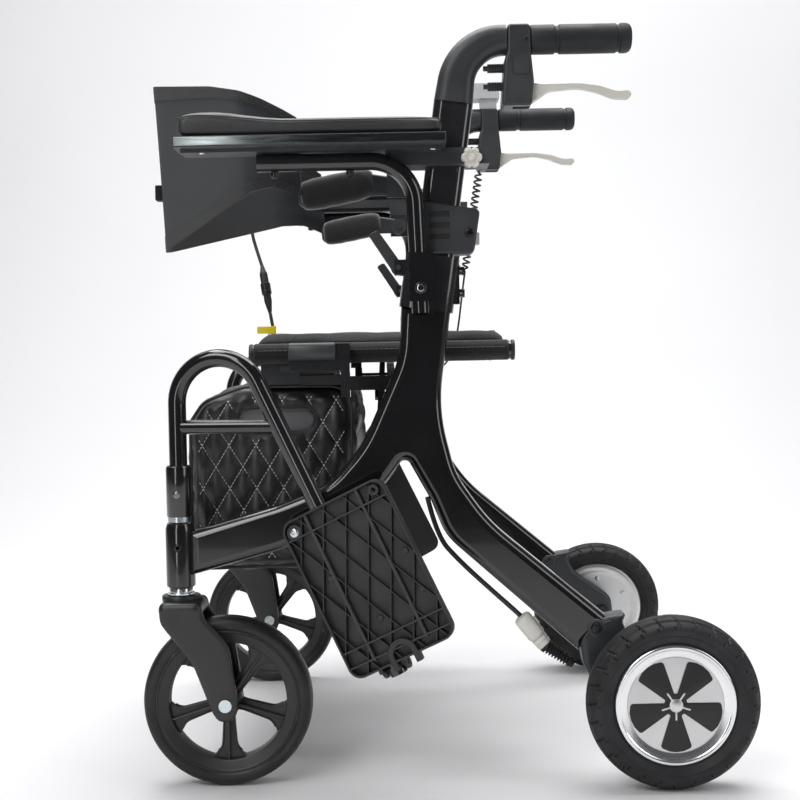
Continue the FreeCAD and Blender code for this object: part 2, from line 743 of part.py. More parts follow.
keep(place(hub_rim, rear_x, -D.half_track, D.wheel_height), "hub_rim_left")

inlays = []
for number in range(5):
    middle = math.radians(-90 + 72 * number)
    loop = []
    for radius, turn, corner in ((13, -0.42, 1.5), (51, -0.36, 4), (55.5, 0, 12), (51, 0.36, 4), (13, 0.42, 1.5)):
        loop.append((radius * math.cos(middle + turn), radius * math.sin(middle + turn), corner))
    inlay = pad_body(f"inlay_{number}", [loop], 1.4)
    inlays.append(place(inlay, rear_x, -D.half_track - half + 2.2, D.wheel_height))
centre_cap = cross_rod("centre_cap", rear_x, -D.half_track - half + 2.8, -D.half_track - half - 0.6, 8)
keep(fuse("hub_inlay", *inlays, centre_cap), "hub_inlay_left")

# ---------------------------------------------------------------- fasteners and axle of the side frame
stub_axle = cross_rod("stub_axle", rear_x, -D.frame_plane - 17, -D.half_track + 11, "axle_radius")
washer = cross_rod("axle_nut", rear_x, -D.frame_plane + 17, -D.frame_plane + 23, 11)
bolts = [stub_axle, washer]
BOLTS = (
    ("socket_bolt", 22.0, -300.0, 579.0, 6.0, 3.5),
    ("collar_bolt", 80.0, -264.0, 644.0, 4.5, 1.5),
    ("bracket_bolt", 221.0, -262.0, 180.0, 6.0, 3.0),
    ("head_bolt", D.caster_place, -D.frame_plane - 15, 283.0, 5.0, 2.5),
)
for name, x, y, z, radius, tall in BOLTS:
    bolts.append(rod(name, (x, y, z), (x, y - tall, z), radius))
for number, x in enumerate((-142, -56)):
    bolts.append(rod(f"arm_bolt_{number}", (x, -D.arm_plane, 710), (x, -D.arm_plane, 714.4), 4.5))
for number, z in enumerate((601, 575)):
    bolts.append(rod(f"clamp_nut_{number}", (68, -D.frame_plane, z), (74, -D.frame_plane, z), 5.0))
keep(group("frame_fasteners", *bolts), "frame_fasteners_left")

# ---------------------------------------------------------------- folding brace with its seat rail
half_rise = (D.rail_height - D.brace_height) / 2
reach = 2 * D.rail_spread
rise = D.rail_height - D.brace_height
tilt_brace = math.degrees(math.atan2(rise, reach))
bar_long = math.hypot(reach, rise)


def brace(name, side, bar_places, bar_width):
    """Flat bars from the lower pivot on one side up to the seat rail on the other."""
    parts = []
    for number, x in enumerate(bar_places):
        loop = [(-11, -11, 10.9), (bar_long, -11, 10.9), (bar_long, 11, 10.9), (-11, 11, 10.9)]
        pin_hole = (0.0, 0.0, D.brace_pin_radius + D.pin_gap)
        bar = pad_body(f"{name}_bar_{number}", [loop, pin_hole], bar_width, role="YZ_Plane")
        turn = Rotation(Vector(1, 0, 0), tilt_brace)
        if side > 0:
            turn = Rotation(Vector(0, 0, 1), 180).multiply(turn)
        parts.append(place(bar, x + bar_width / 2, side * D.rail_spread, D.brace_height, turn))
    rail_y = -side * D.rail_spread
    start, stop = ((x, rail_y, D.rail_height) for x in (D.rail_front, D.rail_back))
    parts.append(rod(f"{name}_rail", start, stop, "rail_radius"))
    return parts


centre_z = D.brace_height + half_rise
cross_bolt = [
    rod("cross_shaft", (-38, 0, centre_z), (8, 0, centre_z), 4.0),
    rod("cross_head", (-39, 0, centre_z), (-33, 0, centre_z), 7.5),
    rod("cross_nut", (3, 0, centre_z), (9, 0, centre_z), 7.5),
]
keep(fuse("brace_rising_right", *brace("first", -1, (-34.0, -4.0), 8.0), *cross_bolt), "brace_rising_right")
brace_two = fuse("brace_two", *brace("second", 1, (-20.0,), 9.0))
second_bore = rod("second_bore", (-30, 0, centre_z), (0, 0, centre_z), 4.05)
keep(cut("brace_rising_left", brace_two, second_bore), "brace_rising_left")

# ---------------------------------------------------------------- backrest
arm_disc = hinge_rod("arm_disc", -225.5, -215.5, 12)
arm_loop = [(-120, 680, 8), (-122, 705, 8), (-40, 721, 12), (-4, 715, 4), (-4, 694, 4), (-40, 694, 12)]
arm_plate = place(pad_body("arm_plate", [arm_loop], 9.0, rounding=3.0), 0, -220.5, 0)
arm_bore = hinge_rod("arm_bore", -240, -200, 5.05)
keep(cut("backrest_arm", fuse("arm_full", arm_disc, arm_plate), arm_bore), "backrest_arm_left")

band_half = [
    (-118, -D.band_spread, 0),
    (-175, -204, 120),
]
band_other = [(x, -y, radius) for x, y, radius in reversed(band_half)]
band_path = corner_path(band_half + [(D.band_front, 0, 30)] + band_other)
band_wire = Part.Wire([e.toShape() for e in band_path])
band_corners = [(1.5, 635), (-1.5, 635), (-1.5, 890), (1.5, 890), (1.5, 635)]
band_section = Part.makePolygon([Vector(-118, -D.band_spread + y, z) for y, z in band_corners])
band_block = solid("band_block", band_wire.makePipeShell([band_section], True, True))
envelope = pad_body("band_envelope", [[
    (-112, 783, 0), (-150, 811, 80), (-205, 843, 200), (-345, 893.5, 0), (-345, 655, 0), (-165, 714, 150), (-112, 692, 0),
]], 600.0)
place(envelope)
band_common = doc.addObject("Part::MultiCommon", "backrest_band")
band_common.Shapes = [band_block, envelope]
hang = Vector(-118 - D.centre_shift, 0, 728)
band_common.Placement = Placement(Vector(), Rotation(ABOUT_Y, -D.band_lean), hang)
doc.recompute()
keep(band_common, "backrest_band")

# ---------------------------------------------------------------- seat, bag and battery case
seat = pad_body("seat_sling", [[(-168, -188, 14), (126, -188, 14), (126, 188, 14), (-168, 188, 14)]], 13.0,
                role="XY_Plane", rounding=3.0)
keep(place(seat, 0, 0, 527.0), "seat_sling")
bag_loop = [(-262, 247, 14), (-66, 250, 14), (-64, 466, 26), (-232, 467, 30), (-258, 440, 20)]
bag = pad_body("bag_outer", [bag_loop], 380.0, rounding=8.0)
place(bag)
lining_loop = [(-258, 251, 11), (-70, 254, 11), (-68, 500, 0), (-240, 500, 0), (-254, 440, 17)]
lining = pad_body("bag_lining", [lining_loop], 372.0, rounding=5.0)
place(lining)
keep(cut("bag_shell", bag, lining), "bag")
case = box("case_box", (-174, -190, 470.5), (-84, -40, 499))
case_round = doc.addObject("Part::Fillet", "battery_round")
case_round.Base = case
case_round.Edges = [(number, 5.0, 5.0) for number in (1, 3, 5, 7)]
doc.recompute()
hanger_lug = box("case_lug", (-90, -222, 484), (-76, -186, 488))
keep(fuse("battery", case_round, hanger_lug), "battery_case")

# ---------------------------------------------------------------- leads
PLUG_TOP = Vector(-218.5, 262, 650)
PLUG_FOOT = Vector(-205, 236, 577)
upper = cord("armrest_lead", [
    (-238, 286, 734.8), (-237, 285, 708), (-229, 275, 680), tuple(PLUG_TOP),
], 2.6)
lower = cord("armrest_lead", [
    tuple(PLUG_FOOT), (-200.5, 228, 555), (-197, 224, 535), (-188, 221, 517), (-170, 220, 506),
    (-150, 219.5, 503), (-135, 219.5, 503),
], 2.6)
keep(group("armrest_lead", solid("lead_upper", upper), solid("lead_lower", lower)), "armrest_lead")
fall = PLUG_FOOT - PLUG_TOP
plug_parts = []
for number, (start, stop, radius) in enumerate(((0.0, 0.40, 6.5), (0.38, 0.60, 8.0), (0.58, 1.0, 6.5))):
    first = PLUG_TOP + fall * start
    last = PLUG_TOP + fall * stop
    plug_parts.append(rod(f"plug_{number}", tuple(first), tuple(last), radius))
keep(fuse("lead_connector", *plug_parts), "lead_connector")

coil = rod("coil", (124, D.frame_plane, 789.7), (104, D.frame_plane, 664), 7)
coil_low = cord("curly_lead", [
    (104, D.frame_plane, 664), (99, D.frame_plane, 632), (93, D.frame_plane, 590), (88, D.frame_plane, 550),
    (80, D.frame_plane, 515), (67, D.frame_plane, 490), (51.5, D.frame_plane, 478.5),
], 2.6)
keep(fuse("curly_lead", coil, solid("curly_tail", coil_low)), "curly_lead")
pod = box("pod", (114, D.frame_plane - 20, 899), (156, D.frame_plane + 18, 922))
pod_foot = box("pod_foot", (127, D.frame_plane - 13, 884.2), (152, D.frame_plane + 13, 899))
keep(fuse("control_pod", pod, pod_foot), "control_pod")

motor_route = cord("motor_lead", [
    (26, -D.frame_plane, 336), (36, -D.frame_plane, 290), (62, -D.frame_plane, 260), (98, -D.frame_plane, 226),
    (126, -D.frame_plane + 4, 200), (136, -D.frame_plane + 6, 190),
], 3.0)
coupling = rod("motor_plug", (134, -D.frame_plane + 6, 192), (163, -D.frame_plane + 6, 156), 9)
boot = rod("motor_boot", (162, -D.frame_plane + 6, 157), (196, -D.frame_plane + 2, 134), 9)
lead_full = fuse("lead_full", solid("motor_route", motor_route), coupling, boot)
lead_clear = fuse("lead_clear", side_frame, bracket_body)
keep(cut("motor_lead", lead_full, lead_clear), "motor_lead_left")

# ---------------------------------------------------------------- right side, mirrored
for source in [n for n in NODES if n.Label.endswith("_left") and n.Label != "brace_rising_left"]:
    twin = doc.addObject("Part::Mirroring", source.Name + "_mirror")
    twin.Source = source
    twin.Base = Vector(0, 0, 0)
    twin.Normal = Vector(0, 1, 0)
    keep(twin, source.Label[: -len("left")] + "right")
doc.recompute()

# ---------------------------------------------------------------- checks and export
for obj in doc.Objects:
    if "Invalid" in obj.State or "Error" in obj.State:
        raise RuntimeError(f"{obj.Name} did not compute: {obj.State}")
for node in NODES:
    shape = node.Shape
    if shape.isNull() or not shape.isValid() or not shape.Solids:
        raise RuntimeError(f"{node.Label} has no valid shape")
os.makedirs("parts", exist_ok=True)
whole = Part.makeCompound([n.Shape for n in NODES])
print("nodes", len(NODES), "box", whole.BoundBox)
for node in NODES:
    node.Shape.exportStep(f"parts/{node.Label}.step")
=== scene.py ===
"""Looks of the rollator walker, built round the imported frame. P() takes millimetres
in the CAD source's own places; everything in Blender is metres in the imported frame."""
import math

import bmesh
import bpy
import numpy as np
from mathutils import Matrix, Vector
from mathutils.bvhtree import BVHTree


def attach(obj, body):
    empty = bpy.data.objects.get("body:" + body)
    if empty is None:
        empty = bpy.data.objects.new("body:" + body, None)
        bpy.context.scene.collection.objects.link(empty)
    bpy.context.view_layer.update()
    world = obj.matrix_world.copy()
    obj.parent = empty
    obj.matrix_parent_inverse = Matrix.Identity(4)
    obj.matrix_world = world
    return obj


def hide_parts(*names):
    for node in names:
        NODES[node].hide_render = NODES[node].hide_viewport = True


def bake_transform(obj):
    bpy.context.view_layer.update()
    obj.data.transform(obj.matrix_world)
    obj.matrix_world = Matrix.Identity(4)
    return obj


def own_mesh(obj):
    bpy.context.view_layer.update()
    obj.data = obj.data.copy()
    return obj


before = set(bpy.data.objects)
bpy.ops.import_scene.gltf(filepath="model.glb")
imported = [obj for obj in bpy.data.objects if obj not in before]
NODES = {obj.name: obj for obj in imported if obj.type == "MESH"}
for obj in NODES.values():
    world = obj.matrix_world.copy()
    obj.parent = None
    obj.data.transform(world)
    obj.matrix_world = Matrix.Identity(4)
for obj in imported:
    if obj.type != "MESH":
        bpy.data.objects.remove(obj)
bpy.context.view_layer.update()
SHIFT = 35.3
SIDES = (("left", -1), ("right", 1))


def P(x, y, z):
    """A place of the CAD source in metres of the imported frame."""
    return Vector(((x - SHIFT) / 1000, y / 1000, z / 1000))


# ------------------------------------------------------------------ camera, light and floor
CAMERA_TURNS = (-0.16, -1.69, -1.07)  # yaw, pitch and roll in degrees
CAMERA_PLACE = (-0.0353, -1.734, 0.4948)
CAMERA_LENS = 56.93
SENSOR_WIDTH = 36


def camera():
    """Looks at the walker's left side from about 1.7 m, a little rolled."""
    yaw, pitch, roll = (math.radians(a) for a in CAMERA_TURNS)
    ahead = Vector((math.sin(yaw) * math.cos(pitch), math.cos(yaw) * math.cos(pitch), math.sin(pitch)))
    right = Vector((math.cos(yaw), -math.sin(yaw), 0))
    up = right.cross(ahead)
    across = right * math.cos(roll) + up * math.sin(roll)
    tall = up * math.cos(roll) - right * math.sin(roll)
    cam = bpy.data.objects.new("camera", bpy.data.cameras.new("camera"))
    cam.data.sensor_width = SENSOR_WIDTH
    cam.data.lens = CAMERA_LENS
    cam.matrix_world = Matrix((
        (across.x, tall.x, -ahead.x, CAMERA_PLACE[0]), (across.y, tall.y, -ahead.y, CAMERA_PLACE[1]),
        (across.z, tall.z, -ahead.z, CAMERA_PLACE[2]), (0, 0, 0, 1),
    ))
    bpy.context.scene.collection.objects.link(cam)
    bpy.context.scene.camera = cam


def area_light(name, place, target, size, power, colour=(1, 1, 1)):
    """A rectangular lamp that faces a target."""
    light = bpy.data.lights.new(name, "AREA")
    light.shape = "RECTANGLE"
    light.size, light.size_y = size
    light.energy = power
    light.color = colour
    obj = bpy.data.objects.new(name, light)
    obj.location = place
    obj.rotation_euler = (Vector(target) - Vector(place)).to_track_quat("-Z", "Y").to_euler()
    bpy.context.scene.collection.objects.link(obj)


def studio():
    """A pale sweep that curves up behind the walker, with large soft lights."""
    half, back, bend = 6.0, 3.2, 1.6
    profile = [(-2.2, 0.0), (0.0, 0.0), (back - bend, 0.0)]
    for step in range(1, 13):
        a = math.pi / 2 * step / 12
        profile.append((back - bend + bend * math.sin(a), bend - bend * math.cos(a)))
    profile.append((back, 5.0))
    verts = [(x, y, z) for y, z in profile for x in (-half, half)]
    faces = [(2 * i, 2 * i + 1, 2 * i + 3, 2 * i + 2) for i in range(len(profile) - 1)]
    data = bpy.data.meshes.new("sweep")
    data.from_pydata(verts, [], faces)
    data.shade_smooth()
    floor = bpy.data.objects.new("sweep", data)
    bpy.context.scene.collection.objects.link(floor)
    mat = bpy.data.materials.new("studio_paper")
    mat.use_nodes = True
    nodes, links = mat.node_tree.nodes, mat.node_tree.links
    shader = nodes["Principled BSDF"]
    shader.inputs["Roughness"].default_value = 0.62
    where = nodes.new("ShaderNodeTexCoord")
    noise = nodes.new("ShaderNodeTexNoise")
    noise.inputs["Scale"].default_value = 1.3
    ramp = nodes.new("ShaderNodeMix")
    ramp.data_type = "RGBA"
    ramp.inputs["A"].default_value = (0.78, 0.78, 0.79, 1)
    ramp.inputs["B"].default_value = (0.83, 0.83, 0.84, 1)
    links.new(where.outputs["Object"], noise.inputs["Vector"])
    links.new(noise.outputs["Fac"], ramp.inputs["Factor"])
    links.new(ramp.outputs["Result"], shader.inputs["Base Color"])
    data.materials.append(mat)
    area_light("key", (-1.6, -2.2, 2.8), (0, 0, 0.5), (2.0, 1.4), 48)
    area_light("side", (2.6, -1.6, 1.4), (0, 0, 0.5), (1.0, 2.2), 18)
    area_light("top", (0.0, 0.3, 2.9), (0, 0, 0.3), (2.8, 1.8), 92)
    area_light("front_strip", (-1.1, -2.5, 0.9), (0, 0, 0.45), (0.35, 1.8), 9)
    area_light("behind", (0.3, 1.5, 2.9), (0, 3.1, 0.7), (5.0, 1.2), 50)
    world = bpy.data.worlds.new("pale")
    bpy.context.scene.world = world
    world.use_nodes = True
    world.node_tree.nodes["Background"].inputs["Color"].default_value = (0.93, 0.95, 1.0, 1)
    world.node_tree.nodes["Background"].inputs["Strength"].default_value = 0.07
    bpy.context.scene.view_settings.view_transform = "Standard"


camera()
studio()


# ------------------------------------------------------------------ materials
class Shade:
    """A node material under construction: a Principled shader with procedural colour, roughness and bump."""

    def __init__(self, name, roughness, metallic=0.0, coat=0.0, coat_roughness=0.05, sheen=0.0, specular=0.5,
                 anisotropic=0.0):
        self.mat = bpy.data.materials.new(name)
        self.mat.use_nodes = True
        self.nodes, self.links = self.mat.node_tree.nodes, self.mat.node_tree.links
        self.shader = self.nodes["Principled BSDF"]
        self.rough = roughness
        for key, value in (("Roughness", roughness), ("Metallic", metallic), ("Coat Weight", coat),
                           ("Coat Roughness", coat_roughness), ("Sheen Weight", sheen),
                           ("Specular IOR Level", specular), ("Anisotropic", anisotropic)):
            self.shader.inputs[key].default_value = value
        self.where = self.nodes.new("ShaderNodeTexCoord").outputs["Object"]
        self.normal = None

    def noise(self, scale, detail=3.0, stretch=(1, 1, 1), roughness=0.5):
        """A noise value over the piece; stretch squeezes it along an axis."""
        grid = self.nodes.new("ShaderNodeMapping")
        grid.inputs["Scale"].default_value = stretch
        tex = self.nodes.new("ShaderNodeTexNoise")
        tex.inputs["Scale"].default_value = scale
        tex.inputs["Detail"].default_value = detail
        tex.inputs["Roughness"].default_value = roughness
        self.links.new(self.where, grid.inputs["Vector"])
        self.links.new(grid.outputs["Vector"], tex.inputs["Vector"])
        return tex.outputs["Fac"]

    def cells(self, scale, feature="F1", stretch=(1, 1, 1)):
        grid = self.nodes.new("ShaderNodeMapping")
        grid.inputs["Scale"].default_value = stretch
        tex = self.nodes.new("ShaderNodeTexVoronoi")
        tex.feature = feature
        tex.inputs["Scale"].default_value = scale
        self.links.new(self.where, grid.inputs["Vector"])
        self.links.new(grid.outputs["Vector"], tex.inputs["Vector"])
        return tex.outputs["Distance"]

    def waves(self, axis, scale):
        tex = self.nodes.new("ShaderNodeTexWave")
        tex.bands_direction = axis
        tex.inputs["Scale"].default_value = scale
        self.links.new(self.where, tex.inputs["Vector"])
        return tex.outputs["Fac"]

    def maths(self, operation, a, b=0.5):
        node = self.nodes.new("ShaderNodeMath")
        node.operation = operation
        for socket, value in zip(node.inputs, (a, b)):
            if isinstance(value, (int, float)):
                socket.default_value = value
            else:
                self.links.new(value, socket)
        return node.outputs[0]

    def spread(self, value, low, high, start=0.3, stop=0.7):
        """Maps a value's usual range onto low to high."""
        node = self.nodes.new("ShaderNodeMapRange")
        for key, number in (("From Min", start), ("From Max", stop), ("To Min", low), ("To Max", high)):
            node.inputs[key].default_value = number
        self.links.new(value, node.inputs["Value"])
        return node.outputs["Result"]

    def blend(self, value, a, b):
        node = self.nodes.new("ShaderNodeMix")
        node.data_type = "RGBA"
        self.links.new(value, node.inputs["Factor"])
        for key, colour in (("A", a), ("B", b)):
            if isinstance(colour, tuple):
                node.inputs[key].default_value = (*colour, 1)
            else:
                self.links.new(colour, node.inputs[key])
        return node.outputs["Result"]

    def colour(self, socket):
        self.links.new(socket, self.shader.inputs["Base Color"])
        return self

    def roughen(self, value, span):
        self.links.new(self.spread(value, self.rough - span, self.rough + span),
                       self.shader.inputs["Roughness"])
        return self

    def bump(self, value, height_mm, strength=1.0):
        node = self.nodes.new("ShaderNodeBump")
        node.inputs["Strength"].default_value = strength
        node.inputs["Distance"].default_value = height_mm / 1000
        self.links.new(value, node.inputs["Height"])
        if self.normal is not None:
            self.links.new(self.normal, node.inputs["Normal"])
        self.normal = node.outputs["Normal"]
        self.links.new(self.normal, self.shader.inputs["Normal"])
        return self

    def worn(self, base, light, edge=0.53, amount=0.6):
        """Base colour with paler, broken wear along sharp edges."""
        shape = self.nodes.new("ShaderNodeNewGeometry").outputs["Pointiness"]
        ridge = self.spread(shape, 0.0, amount, edge, edge + 0.07)
        return self.blend(self.maths("MULTIPLY", ridge, self.noise(60, 4)), base, light)


def gloss_paint(name, colour, lighter):
    """Powder-coated and lacquered steel: deep colour, faint orange peel, dust in the roughness."""
    s = Shade(name, 0.16, coat=0.7, coat_roughness=0.04, specular=0.5)
    cloud = s.noise(7, 4)
    s.colour(s.worn(s.blend(s.spread(cloud, 0, 1), colour, lighter), tuple(c * 6 + 0.03 for c in lighter),
                    amount=0.35))
    s.roughen(s.noise(24, 5), 0.045)
    s.bump(s.noise(260, 2), 0.05, 0.35)
    return s.mat


def moulded(name, colour, roughness, grain=0.10, scale=1500, tint=1.35):
    """Injection-moulded plastic: fine spark texture, slightly uneven tone, paler scuffed edges."""
    s = Shade(name, roughness)
    cloud = s.noise(11, 4)
    pale = tuple(min(1, c * tint + 0.004) for c in colour)
    s.colour(s.worn(s.blend(s.spread(cloud, 0, 1), colour, pale),
                    tuple(min(1, c * 1.7 + 0.03) for c in colour)))
    s.roughen(s.noise(35, 5), 0.07)
    s.bump(s.noise(scale, 3), grain)
    return s.mat


def rubber(name, colour, roughness=0.62, dust=(0.075, 0.072, 0.068)):
    """Tyre and grip rubber: matt, with dust lying in patches and a fine pitted skin."""
    s = Shade(name, roughness, specular=0.35)
    patches = s.spread(s.noise(16, 6, roughness=0.62), 0.0, 0.55, 0.42, 0.75)
    s.colour(s.blend(patches, colour, dust))
    s.roughen(s.noise(28, 5), 0.1)
    s.bump(s.noise(1100, 4), 0.12)
    return s.mat


def metal(name, colour, roughness, brushed=(1, 1, 1), grain=0.03, dull=0.75):
    """Bare or plated metal with brushing along one direction and dull patches."""
    s = Shade(name, roughness, metallic=1.0)
    cloud = s.noise(20, 5)
    s.colour(s.blend(s.spread(cloud, 0, 1), colour, tuple(c * dull for c in colour)))
    fine = s.noise(420, 3, stretch=brushed)
    s.roughen(fine, min(roughness * 0.7, 0.1))
    s.bump(fine, grain)
    return s.mat


def spun(name, colour, roughness, centre, span=0.08, grain=0.012):
    """Aluminium turned on a lathe: rings round an axle that lies across the walker."""
    s = Shade(name, roughness, metallic=1.0, anisotropic=0.4)
    move = s.nodes.new("ShaderNodeVectorMath")
    move.operation = "SUBTRACT"
    move.inputs[1].default_value = tuple(centre)
    s.links.new(s.where, move.inputs[0])
    flat = s.nodes.new("ShaderNodeVectorMath")
    flat.operation = "MULTIPLY"
    flat.inputs[1].default_value = (1, 0, 1)
    s.links.new(move.outputs[0], flat.inputs[0])
    far = s.nodes.new("ShaderNodeVectorMath")
    far.operation = "LENGTH"
    s.links.new(flat.outputs[0], far.inputs[0])
    rings = s.nodes.new("ShaderNodeTexNoise")
    rings.noise_dimensions = "1D"
    rings.inputs["Scale"].default_value = 2600
    s.links.new(far.outputs["Value"], rings.inputs["W"])
    cloud = s.noise(18, 4)
    s.colour(s.blend(s.spread(cloud, 0, 1), colour, tuple(c * 0.86 for c in colour)))
    s.roughen(rings.outputs["Fac"], span)
    s.bump(rings.outputs["Fac"], grain)
    return s.mat


def woven(name, colour, pale, thread=1500, roughness=0.78, sheen=0.25):
    """Plain-woven polyester: crossing threads from three wave sets, so it needs no mapping of the cloth."""
    s = Shade(name, roughness, sheen=sheen, specular=0.3)
    s.shader.inputs["Sheen Roughness"].default_value = 0.4
    cross = s.maths("MULTIPLY", s.maths("ADD", s.waves("X", thread), s.waves("Y", thread)),
                    s.waves("Z", thread))
    cloud = s.noise(9, 5)
    tone = s.blend(s.spread(cloud, 0, 1), colour, pale)
    s.colour(s.blend(s.spread(cross, 0.0, 0.45, 0.1, 1.5), tone, tuple(c * 1.7 for c in pale)))
    s.roughen(cloud, 0.06)
    s.bump(cross, 0.14)
    s.bump(s.noise(55, 4), 0.5, 0.5)
    return s.mat


def fleece(name, colour, pale):
    """Brushed loop fabric of the padded sleeves: short fuzz that catches the light at its edges."""
    s = Shade(name, 0.92, sheen=0.8, specular=0.15)
    s.shader.inputs["Sheen Roughness"].default_value = 0.5
    fuzz = s.noise(900, 6, roughness=0.7)
    s.colour(s.blend(s.spread(fuzz, 0, 1), colour, pale))
    s.bump(fuzz, 0.9)
    s.bump(s.noise(120, 4), 1.1, 0.6)
    return s.mat


def leather(name, colour, pale, roughness=0.33):
    """Coated synthetic leather: pebble grain between fine creases, polished on its high places."""
    s = Shade(name, roughness, coat=0.12, coat_roughness=0.25)
    grain = s.cells(1150)
    crease = s.cells(420, "DISTANCE_TO_EDGE")
    s.colour(s.blend(s.spread(s.noise(14, 5), 0, 1), colour, pale))
    s.roughen(s.noise(30, 5), 0.08)
    s.bump(grain, 0.16)
    s.bump(s.spread(crease, 0, 1, 0.0, 0.06), 0.05)
    s.bump(s.noise(75, 4), 0.6, 0.5)
    return s.mat


M = {
    "paint": gloss_paint("gloss_black_paint", (0.0045, 0.0045, 0.005), (0.008, 0.008, 0.009)),
    "satin": moulded("satin_black", (0.014, 0.014, 0.0145), 0.38, 0.04),
    "dark": moulded("dark_grey_plastic", (0.025, 0.027, 0.030), 0.42, 0.07),
    "black": moulded("black_plastic", (0.008, 0.008, 0.0088), 0.45, 0.08),
    "rib": moulded("ribbed_plastic", (0.013, 0.0133, 0.0142), 0.47, 0.10),
    "cream": moulded("cream_plastic", (0.64, 0.62, 0.56), 0.40, 0.04, tint=1.1),
    "pod": moulded("pale_grey_plastic", (0.42, 0.43, 0.43), 0.42, 0.05, tint=1.1),
    "yellow": moulded("yellow_tag_plastic", (0.85, 0.66, 0.01), 0.42, 0.03, tint=1.05),
    "tyre": rubber("tyre_rubber", (0.013, 0.0134, 0.0146), 0.58, (0.05, 0.051, 0.054)),
    "grip": rubber("grip_rubber", (0.014, 0.0155, 0.017), 0.56, (0.045, 0.046, 0.048)),
    "caster": rubber("caster_rubber", (0.014, 0.0134, 0.0128), 0.42, (0.05, 0.046, 0.042)),
    "rim": moulded("rim_nylon", (0.016, 0.0155, 0.015), 0.42, 0.09),
    "steel": metal("satin_steel", (0.30, 0.30, 0.31), 0.30),
    "zinc": metal("zinc_plate", (0.66, 0.72, 0.74), 0.22, dull=0.85),
    "bolt": metal("black_oxide_steel", (0.05, 0.05, 0.052), 0.34),
    "navy": woven("navy_black_fabric", (0.0065, 0.0075, 0.011), (0.012, 0.0145, 0.021)),
    "seat": woven("black_seat_fabric", (0.008, 0.008, 0.0085), (0.017, 0.017, 0.018)),
    "lining": woven("grey_lining", (0.16, 0.16, 0.17), (0.26, 0.26, 0.28), 1100),
    "fleece": fleece("fuzzy_sleeve_fabric", (0.006, 0.006, 0.0065), (0.020, 0.020, 0.021)),
    "leather": leather("quilted_leatherette", (0.010, 0.010, 0.0105), (0.019, 0.019, 0.020)),
    "padskin": leather("armrest_skin", (0.018, 0.0185, 0.0195), (0.032, 0.033, 0.034), 0.42),
    "thread": moulded("white_thread", (0.62, 0.61, 0.59), 0.7, 0.05, tint=1.15),
    # painted shade: near-black for the plates in the collar's slots, standing in for the shade inside them
    "painted_slot_shade": moulded("slot_shadow", (0.0022, 0.0022, 0.0022), 0.75, 0.05),
    "cable": moulded("cable_jacket", (0.012, 0.012, 0.0125), 0.36, 0.02),
    "battery": moulded("battery_case_plastic", (0.014, 0.015, 0.020), 0.5, 0.05),
}


def paint(obj, key):
    """Gives a piece or a CAD node one of the materials above."""
    mat = M[key] if isinstance(key, str) else key
    obj.data.materials.clear()
    obj.data.materials.append(mat)
    return obj


# ------------------------------------------------------------------ mesh tools
def new(name, verts, faces, smooth=True):
    """A mesh object from plain lists, with its normals outward."""
    data = bpy.data.meshes.new(name)
    data.from_pydata([tuple(v) for v in verts], [], [tuple(f) for f in faces])
    bm = bmesh.new()
    bm.from_mesh(data)
    bmesh.ops.recalc_face_normals(bm, faces=bm.faces)
    bm.to_mesh(data)
    bm.free()
    if smooth:
        data.shade_smooth()
    obj = bpy.data.objects.new(name, data)
    bpy.context.scene.collection.objects.link(obj)
    return obj


def bevel(obj, width_mm, segments=2, angle=35):
    """Rounds the sharp edges for good, and keeps the flats flat."""
    mod = obj.modifiers.new("round", "BEVEL")
    mod.width = width_mm / 1000
    mod.segments = segments
    mod.limit_method = "ANGLE"
    mod.angle_limit = math.radians(angle)
    mod.harden_normals = True
    return bake(obj)


def bake(obj):
    """Applies every modifier."""
    depsgraph = bpy.context.evaluated_depsgraph_get()
    data = bpy.data.meshes.new_from_object(obj.evaluated_get(depsgraph))
    obj.modifiers.clear()
    obj.data = data
    return obj


def crisp(obj, angle=35):
    """Smooth shading that breaks at sharp edges."""
    bm = bmesh.new()
    bm.from_mesh(obj.data)
    for edge in bm.edges:
        edge.smooth = len(edge.link_faces) < 2 or edge.calc_face_angle(0) < math.radians(angle)
    bm.to_mesh(obj.data)
    bm.free()
    obj.data.shade_smooth()
    bm = bmesh.new()
    bm.from_mesh(obj.data)
    for edge in bm.edges:
        edge.smooth = len(edge.link_faces) < 2 or edge.calc_face_angle(0) < math.radians(angle)
    bm.to_mesh(obj.data)
    bm.free()
    return obj


def join(name, *objs):
    """One mesh object from several; the first one's materials come first."""
    bm = bmesh.new()
    mats = []
    for obj in objs:
        data = obj.data.copy()
        data.transform(obj.matrix_world)
        slots = []
        for mat in obj.data.materials:
            if mat not in mats:
                mats.append(mat)
            slots.append(mats.index(mat))
        start = len(bm.faces)
        bm.from_mesh(data)
        bm.faces.ensure_lookup_table()
        if slots:
            for face in bm.faces[start:]:
                face.material_index = slots[min(face.material_index, len(slots) - 1)]
        bpy.data.meshes.remove(data)
    out = bpy.data.objects.new(name, bpy.data.meshes.new(name))
    bm.to_mesh(out.data)
    bm.free()
    for mat in mats:
        out.data.materials.append(mat)
    bpy.context.scene.collection.objects.link(out)
    for obj in objs:
        bpy.data.objects.remove(obj)
    return out


def twin(obj, name):
    """The mirror image across the walker's middle plane."""
    out = bpy.data.objects.new(name, obj.data.copy())
    bpy.context.view_layer.update()
    out.data.transform(obj.matrix_world)
    out.data.transform(Matrix.Diagonal((1, -1, 1, 1)))
    out.data.flip_normals()
    bpy.context.scene.collection.objects.link(out)
    return out


def both(build, name, body, replaced=(), slot=None, **facts):
    """Builds the left piece, mirrors it, and lets each ride on its side's body."""
    left = build()
    left.name = f"{name}_left"
    right = twin(left, f"{name}_right")
    for obj, side in ((left, "left"), (right, "right")):
        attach(obj, f"{body}_{side}")
        if replaced:
            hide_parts(*[f"{n}_{side}" for n in replaced])
    return left, right


